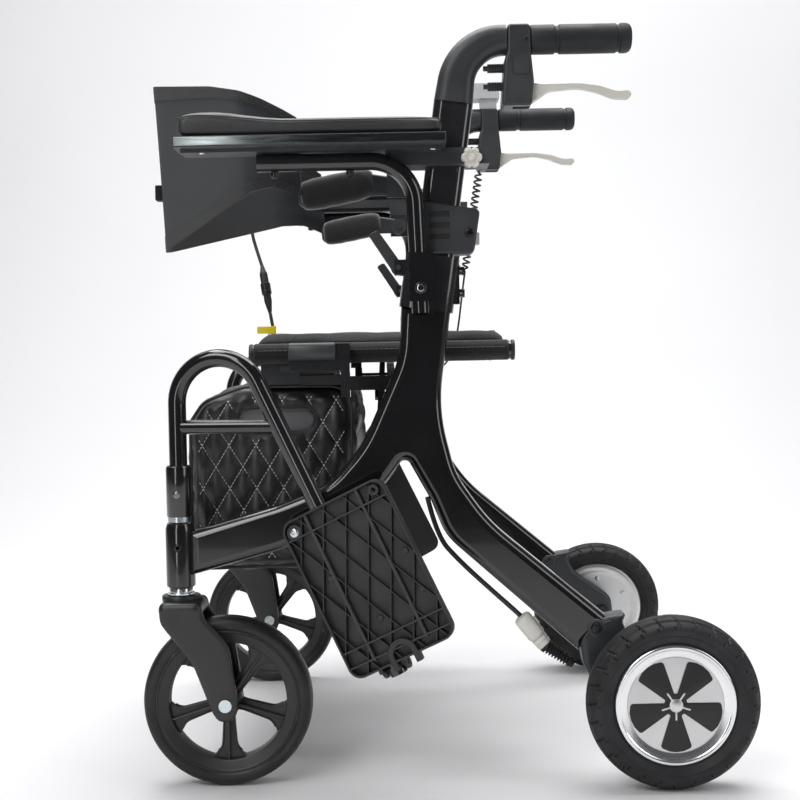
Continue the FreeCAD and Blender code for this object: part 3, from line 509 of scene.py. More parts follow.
def lathe(name, profile, centre, segments=96, axis="Y", closed=True):
    """A turned shape: profile is (radius, along) in millimetres, round an axis through centre."""
    count = len(profile)
    verts, faces = [], []
    for i in range(segments):
        a = 2 * math.pi * i / segments
        for r, s in profile:
            u, v = r * math.cos(a) / 1000, r * math.sin(a) / 1000
            step = {"Y": (u, s / 1000, v), "Z": (u, v, s / 1000), "X": (s / 1000, u, v)}[axis]
            verts.append(centre + Vector(step))
    for i in range(segments):
        j = (i + 1) % segments
        for k in range(count if closed else count - 1):
            n = (k + 1) % count
            faces.append((i * count + k, i * count + n, j * count + n, j * count + k))
    obj = new(name, verts, faces)
    bm = bmesh.new()
    bm.from_mesh(obj.data)
    bmesh.ops.remove_doubles(bm, verts=bm.verts, dist=1e-6)
    bmesh.ops.recalc_face_normals(bm, faces=bm.faces)
    bm.to_mesh(obj.data)
    bm.free()
    return crisp(obj, 40)


def rounded(points, steps=6):
    """A closed outline with rounded corners: points are (x, y, radius) in millimetres."""
    out, count = [], len(points)
    for i, (x, y, radius) in enumerate(points):
        here = Vector((x, y))
        if radius <= 0:
            out.append(here)
            continue
        back = (Vector(points[i - 1][:2]) - here).normalized()
        ahead = (Vector(points[(i + 1) % count][:2]) - here).normalized()
        half = back.angle(ahead) / 2
        reach = radius / math.tan(half)
        centre = here + (back + ahead).normalized() * (radius / math.sin(half))
        start, stop = here + back * reach - centre, here + ahead * reach - centre
        a0, a1 = math.atan2(start.y, start.x), math.atan2(stop.y, stop.x)
        turn = (a1 - a0 + math.pi) % (2 * math.pi) - math.pi
        for k in range(steps + 1):
            a = a0 + turn * k / steps
            out.append(centre + Vector((math.cos(a), math.sin(a))) * radius)
    return out


def plate(name, loops, thick, place, chamfer=0.0):
    """A flat plate cut to closed outlines, holes included, thick millimetres along its Z; place is its matrix."""
    curve = bpy.data.curves.new(name, "CURVE")
    curve.dimensions = "2D"
    curve.fill_mode = "BOTH"
    curve.extrude = max(thick / 2000 - chamfer / 1000, 1e-5)
    curve.bevel_depth = chamfer / 1000
    curve.bevel_resolution = 2
    curve.offset = -chamfer / 1000
    for loop in loops:
        spline = curve.splines.new("POLY")
        spline.points.add(len(loop) - 1)
        for point, (x, y) in zip(spline.points, loop):
            point.co = (x / 1000, y / 1000, 0, 1)
        spline.use_cyclic_u = True
    temp = bpy.data.objects.new(name, curve)
    data = bpy.data.meshes.new_from_object(temp)
    bpy.data.objects.remove(temp)
    bpy.data.curves.remove(curve)
    data.transform(place)
    obj = bpy.data.objects.new(name, data)
    bpy.context.scene.collection.objects.link(obj)
    bm = bmesh.new()
    bm.from_mesh(obj.data)
    bmesh.ops.remove_doubles(bm, verts=bm.verts, dist=1e-6)
    bm.to_mesh(obj.data)
    bm.free()
    return crisp(obj, 30)


def upright(x, y, z):
    """A matrix for plates that stand in the walker's side plane: their X fore and aft, their Y up."""
    return Matrix.Translation(P(x, y, z)) @ Matrix.Rotation(math.pi / 2, 4, "X")


def block(name, low, high, round_mm=1.0, segments=3):
    """A box between two corners of the CAD source with rounded edges."""
    a, b = P(*low), P(*high)
    verts = [(x, y, z) for x in (a.x, b.x) for y in (a.y, b.y) for z in (a.z, b.z)]
    faces = [(0, 1, 3, 2), (4, 6, 7, 5), (0, 4, 5, 1), (2, 3, 7, 6), (0, 2, 6, 4), (1, 5, 7, 3)]
    obj = new(name, verts, faces, smooth=False)
    return bevel(obj, round_mm, segments) if round_mm else obj


def round_bar(name, start, end, radius, segments=32, cap=1.0):
    """A round bar between two places (metres) with chamfered ends."""
    run = end - start
    turn = run.to_track_quat("Z", "Y").to_matrix().to_4x4()
    long = run.length * 1000
    cap = min(cap, radius * 0.45, long * 0.4)
    profile = [(0.001, 0), (radius - cap, 0), (radius, cap), (radius, long - cap), (radius - cap, long),
               (0.001, long)]
    obj = lathe(name, profile, Vector((0, 0, 0)), segments, "Z", closed=False)
    obj.data.transform(Matrix.Translation(start) @ turn)
    return obj


def nurbs(name, points, radius, kind=3):
    """A smooth round cord: one NURBS spline with the route's points as its control points."""
    curve = bpy.data.curves.new(name, "CURVE")
    curve.dimensions = "3D"
    spline = curve.splines.new("NURBS")
    spline.points.add(len(points) - 1)
    for point, spot in zip(spline.points, points):
        point.co = (*spot, 1)
    spline.order_u = kind
    spline.use_endpoint_u = True
    spline.resolution_u = 10
    curve.bevel_depth = radius / 1000
    curve.bevel_resolution = 5
    curve.use_fill_caps = True
    obj = bpy.data.objects.new(name, curve)
    bpy.context.scene.collection.objects.link(obj)
    return obj


def line_of(obj):
    """The points of a cord's own smooth line, in metres."""
    bare = bpy.data.objects.new("bare", obj.data.copy())
    bare.data.bevel_depth = 0
    data = bpy.data.meshes.new_from_object(bare)
    points = [v.co.copy() for v in data.vertices]
    bpy.data.meshes.remove(data)
    bpy.data.curves.remove(bare.data)
    return points


def tube(name, points, radius, segments=12, closed=False, caps=True):
    """A round tube of one radius, or one per point, through places in metres."""
    count = len(points)
    radii = [radius] * count if isinstance(radius, (int, float)) else radius
    verts, faces = [], []
    side = None
    for i, spot in enumerate(points):
        before = points[i - 1] if i or closed else spot
        after = points[(i + 1) % count] if i < count - 1 or closed else spot
        along = (after - before).normalized()
        if side is None:
            side = along.orthogonal().normalized()
        side = (side - along * side.dot(along)).normalized()
        other = along.cross(side)
        for k in range(segments):
            a = 2 * math.pi * k / segments
            verts.append(spot + (side * math.cos(a) + other * math.sin(a)) * radii[i] / 1000)
    for i in range(count if closed else count - 1):
        j = (i + 1) % count
        for k in range(segments):
            n = (k + 1) % segments
            faces.append((i * segments + k, i * segments + n, j * segments + n, j * segments + k))
    if caps and not closed:
        faces.append(tuple(range(segments))[::-1])
        faces.append(tuple((count - 1) * segments + k for k in range(segments)))
    return crisp(new(name, verts, faces), 50)


def loft(name, rings, closed=True, ends=True):
    """A skin through rings of points, all with the same count."""
    count = len(rings[0])
    verts = [v for ring in rings for v in ring]
    faces = []
    for i in range(len(rings) - 1):
        for k in range(count if closed else count - 1):
            n = (k + 1) % count
            faces.append((i * count + k, i * count + n, (i + 1) * count + n, (i + 1) * count + k))
    if ends:
        faces.append(tuple(range(count))[::-1])
        faces.append(tuple((len(rings) - 1) * count + k for k in range(count)))
    return new(name, verts, faces)


def stand(obj, place, outward):
    """Moves a piece built along Z to a place, with its Z turned to the given direction."""
    obj.data.transform(Matrix.Translation(place) @ outward.to_track_quat("Z", "Y").to_matrix().to_4x4())


def screw(name, place, outward, radius, tall, socket=True):
    """A button-head screw with a hexagon socket, standing on a surface."""
    hole = radius * 0.42
    profile = [(0.01, tall * 0.35), (hole, tall * 0.35), (hole, tall), (radius * 0.62, tall),
               (radius * 0.9, tall * 0.72), (radius, tall * 0.3), (radius, 0), (0.01, 0)]
    if not socket:
        profile = profile[3:]
        profile.insert(0, (0.01, tall))
    obj = lathe(name, profile, Vector((0, 0, 0)), 36, "Z", closed=False)
    stand(obj, place, outward)
    return obj


def cast(obj, voxel, rounds):
    """Runs joined solids into one another, as a casting does, with every edge softened."""
    even = obj.modifiers.new("even", "REMESH")
    even.mode = "VOXEL"
    even.voxel_size = voxel
    soft = obj.modifiers.new("soft", "SMOOTH")
    soft.factor = 0.5
    soft.iterations = rounds
    bake(obj)
    obj.data.shade_smooth()


def swell(obj, frames=20, pressure=4.0, cap_mm=6.0, voxel_mm=5.0):
    """Blows a padded piece up with cloth under pressure, no further than the cap, and keeps the result."""
    mod = obj.modifiers.new("even", "REMESH")
    mod.mode = "VOXEL"
    mod.voxel_size = voxel_mm / 1000
    bake(obj)
    rest = np.array([v.co for v in obj.data.vertices], float)
    cloth = obj.modifiers.new("Cloth", "CLOTH")
    cloth.settings.use_pressure = True
    cloth.settings.uniform_pressure_force = pressure
    cloth.settings.effector_weights.gravity = 0
    cloth.settings.quality = 6
    cloth.settings.tension_stiffness = 40
    cloth.settings.compression_stiffness = 40
    cloth.point_cache.frame_start = 1
    cloth.point_cache.frame_end = frames
    for number in range(1, frames + 1):
        bpy.context.scene.frame_set(number)
    bake(obj)
    bpy.context.scene.frame_set(1)
    moved = np.array([v.co for v in obj.data.vertices], float)
    step = moved - rest
    far = np.linalg.norm(step, axis=1, keepdims=True)
    step *= np.minimum(1, cap_mm / 1000 / np.maximum(far, 1e-9))
    obj.data.vertices.foreach_set("co", (rest + step).ravel())
    obj.data.update()
    smooth = obj.modifiers.new("soft", "SMOOTH")
    smooth.factor = 0.5
    smooth.iterations = 6
    sub = obj.modifiers.new("fine", "SUBSURF")
    sub.levels = sub.render_levels = 1
    bake(obj)
    obj.data.shade_smooth()
    return obj


# ------------------------------------------------------------------ CAD nodes that keep their own shape
CARRIED = {
    "side_frame": "paint", "collar_housing": "dark", "armrest_frame": "paint", "quick_release": "dark",
    "handle_stem": "paint", "handle_elbow": "dark", "brake_housing": "dark", "brake_lever": "cream",
    "hanger_hoop": "paint", "caster_fork": "satin", "caster_axle": "zinc", "motor_bracket": "dark",
    "frame_fasteners": "bolt", "backrest_arm": "dark",
}
for word, key in CARRIED.items():
    for side, _ in SIDES:
        paint(NODES[f"{word}_{side}"], key)
for word, key in (("brace_rising_right", "paint"), ("brace_rising_left", "paint"),
                  ("battery_case", "battery"), ("control_pod", "pod")):
    paint(NODES[word], key)
for word, node in NODES.items():
    node.data.shade_smooth()
    crisp_angle = 32
    sharp = node.data.attributes.get("sharp_edge") or node.data.attributes.new("sharp_edge", "BOOLEAN",
        "EDGE")
    bm = bmesh.new()
    bm.from_mesh(node.data)
    bm.edges.ensure_lookup_table()
    flags = [len(e.link_faces) == 2 and e.calc_face_angle(0) > math.radians(crisp_angle) for e in bm.edges]
    bm.free()
    sharp.data.foreach_set("value", flags)


# ------------------------------------------------------------------ caster wheels
CASTER = P(-213.5, -245, 100)


def caster_tyre():
    """Solid tyre with a fine groove on each side of its tread."""
    profile = [(84.2, -14.5), (85.5, -15.6), (87, -16.2), (90, -16.9), (94, -16.6), (96.8, -14.6),
               (98.6, -11), (99.4, -7.4), (98.9, -7.0), (98.9, -6.4), (99.6, -6.0), (100, 0), (99.6, 6.0),
               (98.9, 6.4), (98.9, 7.0), (99.4, 7.4), (98.6, 11), (96.8, 14.6), (94, 16.6), (90, 16.9),
               (87, 16.2), (85.5, 15.6), (84.2, 14.5), (84.0, 0)]
    return paint(lathe("caster_tyre", profile, CASTER, 144), "caster")


def caster_wheel():
    """Moulded rim: a deep outer ring, a hub and five spokes with raised edges and a ridge down each face."""
    ring = [(83.9, -14.3), (82.6, -14.6), (81.8, -13.4), (80.6, -12.6), (71.5, -11.8), (69.8, -10.4),
            (68.8, -5), (68.6, 0), (68.8, 5), (69.8, 10.4), (71.5, 11.8), (80.6, 12.6), (81.8, 13.4),
            (82.6, 14.6), (83.9, 14.3)]
    parts = [lathe("ring", ring, CASTER, 120)]
    hub = [(4.2, -14), (11, -14), (12.5, -12.5), (15, -8), (17, -3.5), (17, 3.5), (15, 8), (12.5, 12.5),
           (11, 14), (4.2, 14)]
    parts.append(lathe("hub", hub, CASTER, 48))
    base = Matrix.Translation(CASTER) @ Matrix.Rotation(math.pi / 2, 4, "X")
    spoke = rounded([(8, -6.5, 0), (22, -5.6, 10), (58, -8.0, 16), (71, -27, 0), (71, 27, 0), (58, 8.0, 16),
                     (22, 5.6, 10), (8, 6.5, 0)], 7)
    for number in range(5):
        turn = base @ Matrix.Rotation(math.radians(-90 + 72 * number), 4, "Z")
        parts.append(plate("web", [spoke], 7.5, turn, 0.9))
        for y in (-1, 1):
            for sign in (-1, 1):
                edge = [turn @ Vector((p.x / 1000, p.y / 1000,
                                       y * 0.0037)) for p in spoke if p.y * sign > 0 and p.x < 69.5]
                edge.sort(key=lambda v: (v - CASTER).length)
                parts.append(tube("lip", edge, 1.25, 8))
    for number in range(5):
        a = math.radians(-90 + 72 * number)
        along, across = Vector((math.cos(a), math.sin(a))), Vector((-math.sin(a), math.cos(a)))
        for y in (-1, 1):
            rings = []
            for r, wide, tall in ((14, 2.6, 12.5), (30, 2.2, 10.8), (50, 1.8, 9.6), (69.5, 1.6, 9.4)):
                ring_points = []
                for s, h in ((-wide, 2.5), (-wide * 0.62, tall - 0.5), (-wide * 0.3, tall),
                             (wide * 0.3, tall), (wide * 0.62, tall - 0.5), (wide, 2.5)):
                    spot = along * r + across * s
                    ring_points.append(base @ Vector((spot.x / 1000, spot.y / 1000, y * h / 1000)))
                rings.append(ring_points)
            parts.append(crisp(loft("ridge", rings), 40))
    return paint(join("caster_rim", *parts), "rim")


both(caster_tyre, "caster_tyre_look", "caster_wheel", ("caster_tyre",), "tyre_rubber")
both(caster_wheel, "caster_rim_look", "caster_wheel", ("caster_rim",))


def caster_fork():
    """Cast fork: a rounded shoulder that flows into two blades with bosses, under a cup and a zinc washer."""
    shoulder = block("shoulder", (-290, -277.5, 203), (-239, -212.5, 221), 8, 5)
    bulge = lathe("bulge", [(0.01, 205), (24, 205), (25.5, 212), (24.5, 219), (20, 223.5), (0.01, 223.5)],
                  P(-264.5, -245, 0), 48, "Z", closed=False)
    outline = rounded([(-290, 216, 8), (-288, 196, 20), (-251, 148, 50), (-229, 90, 20), (-222, 80, 10),
                       (-205, 80, 10),
                       (-199, 95, 12), (-201, 116, 30), (-209, 172, 40), (-238, 203, 18), (-239, 216, 6)], 6)
    parts = [shoulder, bulge]
    for y in (-271.0, -219.0):
        parts.append(plate("blade", [outline], 8.6, upright(0, y, 0), 1.6))
        parts.append(round_bar("boss", P(-213.5, y - 4.6, 100), P(-213.5, y + 4.6, 100), 13.5, 40, 1.2))
    fork = join("fork", *parts)
    cast(fork, 0.0017, 9)
    paint(fork, "satin")
    place = P(-267, -245, 0)
    cup = lathe("cup", [(9, 219), (22.0, 219), (22.6, 220), (22.6, 224.6), (21.8, 225.6), (9, 226.0)], place,
                64, "Z")
    washer = lathe("washer",
                   [(8.2, 226.2), (15.4, 226.2), (16.2, 227), (16.2, 228.6), (13.6, 229.2), (13.6, 233.6),
                    (12.8, 234.6),
                              (8.2, 234.6)], place, 64, "Z")
    return join("fork", fork, paint(cup, "black"), paint(washer, "zinc"))


both(caster_fork, "caster_fork_look", "caster_fork", ("caster_fork",), "fork_paint")


# ------------------------------------------------------------------ rear wheels with hub motors
REAR = P(303, -290, 100)


def rear_tyre():
    """Pneumatic-looking solid tyre: smooth walls with a moulded ring, and a crown cut into blocks."""
    section = [(70.0, -16.5), (71.5, -18.2), (75, -20.6), (78, -22.2), (79.2, -23.3), (80.6, -22.7),
               (83, -23.4), (86, -23.8), (88.5, -23.4), (90, -22.6), (91.5, -21.4), (93.2, -19.6),
               (94.8, -17.4), (96.2, -15), (97.2, -13.0), (98.0, -11.2), (98.7, -9.2), (99.2, -7.0),
               (99.6, -4.6), (99.9, -2.2)]
    section = section + [(100.0, 0.0)] + [(r, -s) for r, s in reversed(section)]
    segments = 28 * 12
    verts, faces = [], []
    count = len(section)
    for i in range(segments):
        a = 2 * math.pi * i / segments
        step = i % 12
        for k, (r, s) in enumerate(section):
            off = 0.0
            width = abs(s)
            lean = int(round((width - 8) / 5)) if width < 22 else 0
            if r > 87 and width > 5.5:
                cut = (step + (lean if s < 0 else lean + 6)) % 12
                off = 2.5 if cut == 0 else 0.0
                off *= min(1.0, (r - 87) / 3 + 0.3)
            if 4.0 < width < 5.2 or 13.9 < width < 15.2 and r > 90:
                off = max(off, 1.3)
            rr = r - off
            side = s * (1 - 0.02 * off)
            verts.append(REAR + Vector((rr * math.cos(a), side, rr * math.sin(a))) / 1000)
    for i in range(segments):
        j = (i + 1) % segments
        for k in range(count - 1):
            faces.append((i * count + k, i * count + k + 1, j * count + k + 1, j * count + k))
        faces.append((i * count + count - 1, i * count, j * count, j * count + count - 1))
    return paint(crisp(new("rear_tyre", verts, faces), 28), "tyre")


def hub_ring():
    """Polished rim: rolled outer lip and a mirror cone down to the disc."""
    profile = [(69.9, -17.4), (69.2, -19.2), (67.6, -20.3), (65.4, -20.5), (63.8, -19.6), (62.9, -18.6),
               (61.6, -18.4), (57.0, -16.9), (55.4, -16.4), (55.0, -15.2), (55.0, -10), (69.9, -10)]
    return paint(lathe("hub_ring", profile, REAR, 160), M["polish"])


def hub_drum():
    """Brushed disc outside, drum, and the plain inner plate with its six socket screws."""
    profile = [(0.01, -16.6), (54.6, -16.6), (55.2, -16.0), (55.2, -9.5), (69.8, -9.5), (69.8, 15.5),
               (68.6, 17.4), (66.5, 18.3), (58, 18.4), (57, 17.8), (52, 17.6), (20.5, 17.6), (19.5, 18.6),
               (13, 19.4), (7.2, 19.4), (7.2, -6), (0.01, -6)]
    return paint(lathe("hub_drum", profile, REAR, 144, closed=False), M["brushed"])


def hub_screws():
    """The six screws of the inner plate."""
    parts = []
    for number in range(6):
        a = math.radians(30 + 60 * number)
        spot = REAR + Vector((46 * math.cos(a), 17.5, 46 * math.sin(a))) / 1000
        parts.append(screw("screw", spot, Vector((0, 1, 0)), 3.6, 1.8))
    return paint(join("hub_screws", *parts), "zinc")


def fan():
    """Black fan of five blades, left between five silver wedges with rounded tips."""
    outline = []
    for number in range(5):
        mid = math.radians(-90 + 72 * number)
        tip = mid + math.radians(36)
        def at(r, a, radius):
            return (r * math.cos(a), r * math.sin(a), radius)
        outline += [at(51.5, mid - 0.355, 3.5), at(53.4, mid - 0.16, 0), at(53.8, mid, 0),
                    at(53.4, mid + 0.16, 0),
                    at(51.5, mid + 0.355, 3.5), at(13.2, tip - 0.14, 1.6), at(13.2, tip + 0.14, 1.6)]
    base = Matrix.Translation(REAR + Vector((0, -0.0171, 0))) @ Matrix.Rotation(math.pi / 2, 4, "X")
    return paint(plate("fan", [rounded(outline, 6)], 1.3, base, 0.25), "black")


def hub_star():
    """Silver centre cap with five short bars."""
    parts = [lathe("cap",
                   [(0.01, -20.2), (6.2, -20.2), (7.6, -19.4), (7.9, -18.4), (7.9, -16.8), (0.01, -16.8)],
                   REAR, 48, closed=False)]
    base = Matrix.Translation(REAR + Vector((0, -0.0180, 0))) @ Matrix.Rotation(math.pi / 2, 4, "X")
    for number in range(5):
        a = math.radians(-90 + 72 * number)
        along, across = Vector((math.cos(a), math.sin(a))), Vector((-math.sin(a), math.cos(a)))
        corners = []
        for r, s in ((6.5, -1.05), (17.3, -1.05), (17.3, 1.05), (6.5, 1.05)):
            spot = along * r + across * s
            corners.append((spot.x, spot.y, 1.0 if r > 10 else 0))
        parts.append(plate("bar", [rounded(corners, 4)], 1.5, base, 0.3))
    return paint(join("hub_star", *parts), "cap")


REAR_AXIS = tuple(REAR)
M["polish"] = spun("polished_aluminium", (0.88, 0.88, 0.89), 0.22, REAR_AXIS, 0.05, 0.004)
M["brushed"] = spun("spun_aluminium", (0.70, 0.70, 0.70), 0.36, REAR_AXIS)
M["cap"] = metal("matt_silver", (0.74, 0.73, 0.71), 0.38, dull=0.92)
both(rear_tyre, "rear_tyre_look", "rear_wheel", ("rear_tyre",), "tyre_rubber")
both(hub_ring, "hub_ring", "rear_wheel")
both(hub_drum, "hub_drum", "rear_wheel", ("hub_rim",))
both(hub_screws, "hub_screws", "rear_wheel")
both(fan, "hub_fan", "rear_wheel", ("hub_inlay",))
both(hub_star, "hub_star", "rear_wheel")


# ------------------------------------------------------------------ frame trim
def sleeve_parts():
    """Footrest sleeve round the upright tube, with the bare zinc ring under it."""
    place = P(-267, -245, 0)
    profile = [(11, 318.6), (14.2, 318.6), (15.0, 319.8), (15.0, 375), (14.5, 377.4), (12.8, 378.6),
               (11, 378.6)]
    bare = [(11, 311.8), (13.3, 311.8), (13.9, 312.4), (13.9, 318.4), (11, 318.4)]
    return join("sleeve", paint(lathe("sleeve", profile, place, 72, "Z"), "paint"),
                paint(lathe("bare_ring", bare, place, 72, "Z"), "zinc"))


def head_parts():
    """The steering head tube."""
    place = P(-267, -245, 0)
    profile = [(14, 236), (16.2, 236), (17, 236.8), (17, 303), (16.6, 305.5), (14.9, 310.6), (14.0, 310.9)]
    return paint(lathe("head", profile, place, 72, "Z"), "paint")


both(sleeve_parts, "swing_sleeve_look", "hanger")
both(head_parts, "steering_head", "frame")


def hanger_screws():
    """The screw of the footrest sleeve."""
    return paint(screw("screw", P(-267, -259.4, 345), Vector((0, -1, 0)), 4.6, 2.0), "steel")


def frame_screws():
    """The black socket screws of one side frame."""
    parts = [
        screw("a", P(-267, -261.8, 283), Vector((0, -1, 0)), 4.8, 2.0),
        screw("b", P(80, -264.0, 644), Vector((0, -1, 0)), 5.4, 1.9),
        screw("c", P(221, -262.0, 180), Vector((0, -1, 0)), 6.4, 3.3),
        screw("d", P(-142, -286, 710.6), Vector((0, 0, -1)), 5.0, 3.0),
        screw("e", P(-56, -286, 710.6), Vector((0, 0, -1)), 5.0, 3.0),
    ]
    return paint(join("frame_screws", *parts), "bolt")


def zinc_screws():
    """The zinc socket bolt and the two clamp nuts."""
    parts = [screw("a", P(22, -300.0, 579), Vector((0, -1, 0)), 6.6, 3.6)]
    for z in (601, 575):
        parts.append(lathe("nut", [(0.01, 0), (0.01, 4), (4.0, 4), (5.2, 3.2), (5.2, 0)], Vector((0, 0, 0)),
                           6, "Z", closed=False))
        stand(parts[-1], P(68.2, -245, z), Vector((1, 0, 0)))
    return paint(join("zinc_screws", *parts), "zinc")


both(hanger_screws, "sleeve_screw", "hanger")
both(frame_screws, "socket_screws", "frame")
both(zinc_screws, "plated_screws", "frame")


def rail_caps():
    """The end caps of one seat rail."""
    parts = []
    for x, out in ((-181, -1), (131, 1)):
        ring = [(0.01, 0), (11.6, 0), (12.4, 0.8), (12.4, 3.2), (11.4, 4.4), (0.01, 4.6)]
        cap = lathe("cap", ring, Vector((0, 0, 0)), 40, "Z", closed=False)
        stand(cap, P(x, -200, 508), Vector((out, 0, 0)))
        parts.append(cap)
    return paint(join("rail_caps", *parts), "black")


caps_left = rail_caps()
caps_left.name = "rail_caps_left"
caps_right = twin(caps_left, "rail_caps_right")
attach(caps_left, "brace_left")
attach(caps_right, "brace_right")


def saddle():
    """Grey half-round clip on the outside of the seat rail's saddle."""
    rings = []
    for x, shrink in ((-136, 1.2), (-135, 0.0), (-81, 0.0), (-80, 1.2)):
        ring = []
        for a in range(90, 271, 9):
            r = 10.5 - shrink
            ring.append(P(x, -226.2 + 0.62 * r * math.cos(math.radians(a)),
                          510 + r * math.sin(math.radians(a))))
        rings.append(ring)
    return paint(crisp(loft("saddle", rings), 40), "dark")


both(saddle, "rail_saddle", "frame")


def lever_tip():
    """White slider of the height lock, just behind the collar housing."""
    return paint(block("slider", (85.5, -250, 631), (92.5, -240, 645.5), 1.4), "cream")


both(lever_tip, "height_slider", "frame")


def slot_shade_plates():
    """Near-black plates in the three slots of the collar housing: painted shade standing in for the dark depth of
    the slots.
    """
    parts = []
    for z in (666, 653, 640):
        base = upright(45, -262.35, z)
        parts.append(plate("slot",
                           [rounded([(-13, -3.3, 3.2), (13, -3.3, 3.2), (13, 3.3, 3.2), (-13, 3.3, 3.2)], 6)],
                           1.0, base))
    return paint(join("slot_shade_plates", *parts), "painted_slot_shade")


both(slot_shade_plates, "collar_slot_shade", "frame")


# ------------------------------------------------------------------ armrest knob and tray edge
def knob():
    """Six-lobed wheel knob with a recessed face."""
    def outline(grow):
        return [Vector((math.cos(a), math.sin(a))) * (11.9 + grow - 2.6 * (1 - abs(math.cos(3 * a))) ** 1.6)
                for a in (2 * math.pi * k / 120 for k in range(120))]
    rings = []
    for grow, y in ((-1.6, -273.6), (0, -274.6), (0, -282.2), (-0.5, -283.6), (-1.6, -284.4), (-4.0, -284.4),
                    (-4.4, -283.2)):
        rings.append([P(83 + v.x, y, 728 + v.y) for v in outline(grow)])
    body = crisp(loft("knob", rings), 40)
    hub = lathe("hub", [(0.01, -285.0), (3.2, -285.0), (4.0, -284.2), (4.0, -283), (0.01, -283)],
                Vector(P(83, 0, 728)), 32, closed=False)
    stem = lathe("stem", [(3.0, -274), (3.0, -261), (0.01, -261), (0.01, -274)], Vector(P(83, 0, 728)), 24)
    return paint(join("knob", body, hub, stem), "cream")


both(knob, "knob_look", "star_knob", ("star_knob",), "cream_plastic")


for side, sign in SIDES:
    node = NODES[f"armrest_tray_{side}"]
    node.data.materials.clear()
    node.data.materials.append(M["dark"])


def channel_strip():
    """The bright edge of the channel along the outer side."""
    outline = [(-251.2, 740.6, 1.0), (52.2, 740.6, 1.0), (52.2, 750.6, 1.0), (-251.2, 750.6, 1.0)]
    base = upright(0, -318.3, 0)
    return paint(plate("edge", [rounded(outline, 3)], 1.1, base, 0.3), M["channel"])


M["channel"] = metal("anodised_channel", (0.18, 0.20, 0.20), 0.20, (0.05, 1, 1), 0.01)
both(channel_strip, "tray_edge", "frame")


def tray_screws():
    """The two screws under the armrest tray."""
    return paint(join("s", screw("a", P(-222, -300, 735.2), Vector((0, 0, -1)), 3.4, 1.8),
                      screw("b", P(38, -300, 735.2), Vector((0, 0, -1)), 3.4, 1.8)), "zinc")


both(tray_screws, "tray_screws", "frame")


# ------------------------------------------------------------------ grips and brake trim
def grip():
    """Rubber grip: a smooth barrel between two grooved collars and a domed end."""
    profile = [(12.2, 155.2), (15.6, 155.2), (16.6, 156.0), (17.0, 157.4), (17.0, 182.4), (16.2, 183.2),
               (15.4, 184), (15.4, 187.6), (16.2, 188.4), (17.0, 189.2), (17.1, 200), (17.0, 254.6),
               (16.2, 255.4), (15.5, 256), (15.5, 258.4), (16.3, 259.2), (17.2, 260), (17.4, 264),
               (16.9, 268), (15.4, 270.9), (12.6, 272.6), (7, 273), (0.01, 273)]
    place = Vector((-SHIFT / 1000, -0.245, 0.8685))
    return paint(lathe("grip", profile + [(0.01, 255), (12.2, 250)], place, 72, "X"), "grip")


both(grip, "grip_look", "handle", ("grip",), "grip_rubber")


def housing_trim():
    """Barrel adjusters with knurled rims, the moulded U line and the pinch screw of the brake housing."""
    parts = []
    for z in (836, 815):
        ring = [(0.01, 0)]
        for k in range(7):
            ring += [(4.6, 0.5 + 3 * k), (5.3, 1.2 + 3 * k), (5.3, 2.4 + 3 * k), (4.6, 3.1 + 3 * k)]
        ring.append((0.01, 21.5))
        barrel = lathe("barrel", ring, Vector((0, 0, 0)), 36, "Z", closed=False)
        stand(barrel, P(106, -245, z), Vector((1, 0, 0)))
        parts.append(barrel)
    line = [(133, 843), (133, 829), (134.5, 826.5), (137, 825.4), (149, 825.4), (151.5, 826.5), (153, 829),
            (153, 843)]
    parts.append(tube("line", [P(x, -262.05, z) for x, z in line], 0.7, 8))
    parts.append(screw("pinch", P(149, -261.9, 866), Vector((0, -1, 0)), 3.6, 1.4))
    return paint(join("trim", *parts), "black")


both(housing_trim, "brake_trim", "handle")


def pivot_trim():
    """Backrest hinge disc with its raised rim."""
    place = Vector((-SHIFT / 1000 - 0.0025, 0, 0.704))
    ring = lathe("ring", [(0.01, -227.0), (4.2, -227.0), (4.8, -226.4), (9.2, -226.4), (9.8, -227.2),
                          (11.4, -227.2), (12.1, -226.4), (12.1, -225),
                          (0.01, -225)], place, 48, closed=False)
    return paint(ring, "dark")


both(pivot_trim, "hinge_disc", "backrest")


def bracket():
    """Moulded cover at the end of the rear leg: a hooked fin above and a rounded belly."""
    outline = rounded([(206, 136, 14), (201, 168, 16), (214, 187, 12), (236, 194, 12), (258, 197, 2.5),
                       (252, 186, 9),
                       (262, 164, 26), (318, 124, 20), (322, 86, 18), (284, 79, 20), (216, 116, 18)], 7)
    body = plate("body", [outline], 33.0, upright(0, -245, 0), 6.0)
    cast(body, 0.0018, 5)
    groove = [Vector((x, y)) for x, y in ((207, 168), (218, 183), (238, 188))]
    parts = [body]
    for y in (-261.3, -228.7):
        parts.append(tube("rim", [P(p.x, y, p.y) for p in spaced_flat(groove, 3.0)], 1.1, 8))
        parts.append(lathe("seat",
                           [(6.8, y - 0.9), (10.0, y - 0.9), (10.8, y), (10.0, y + 0.9), (6.8, y + 0.9)],
                           P(221, 0, 180), 40))
    return paint(join("bracket", *parts), "dark")


def spaced_flat(points, step):
    """A smooth run of flat points through three given ones."""
    a, b, c = points
    count = max(4, int(((b - a).length + (c - b).length) / step))
    return [a * (1 - t) ** 2 + b * 2 * t * (1 - t) + c * t * t for t in (k / count for k in range(count + 1))]


both(bracket, "motor_bracket_look", "frame", ("motor_bracket",))


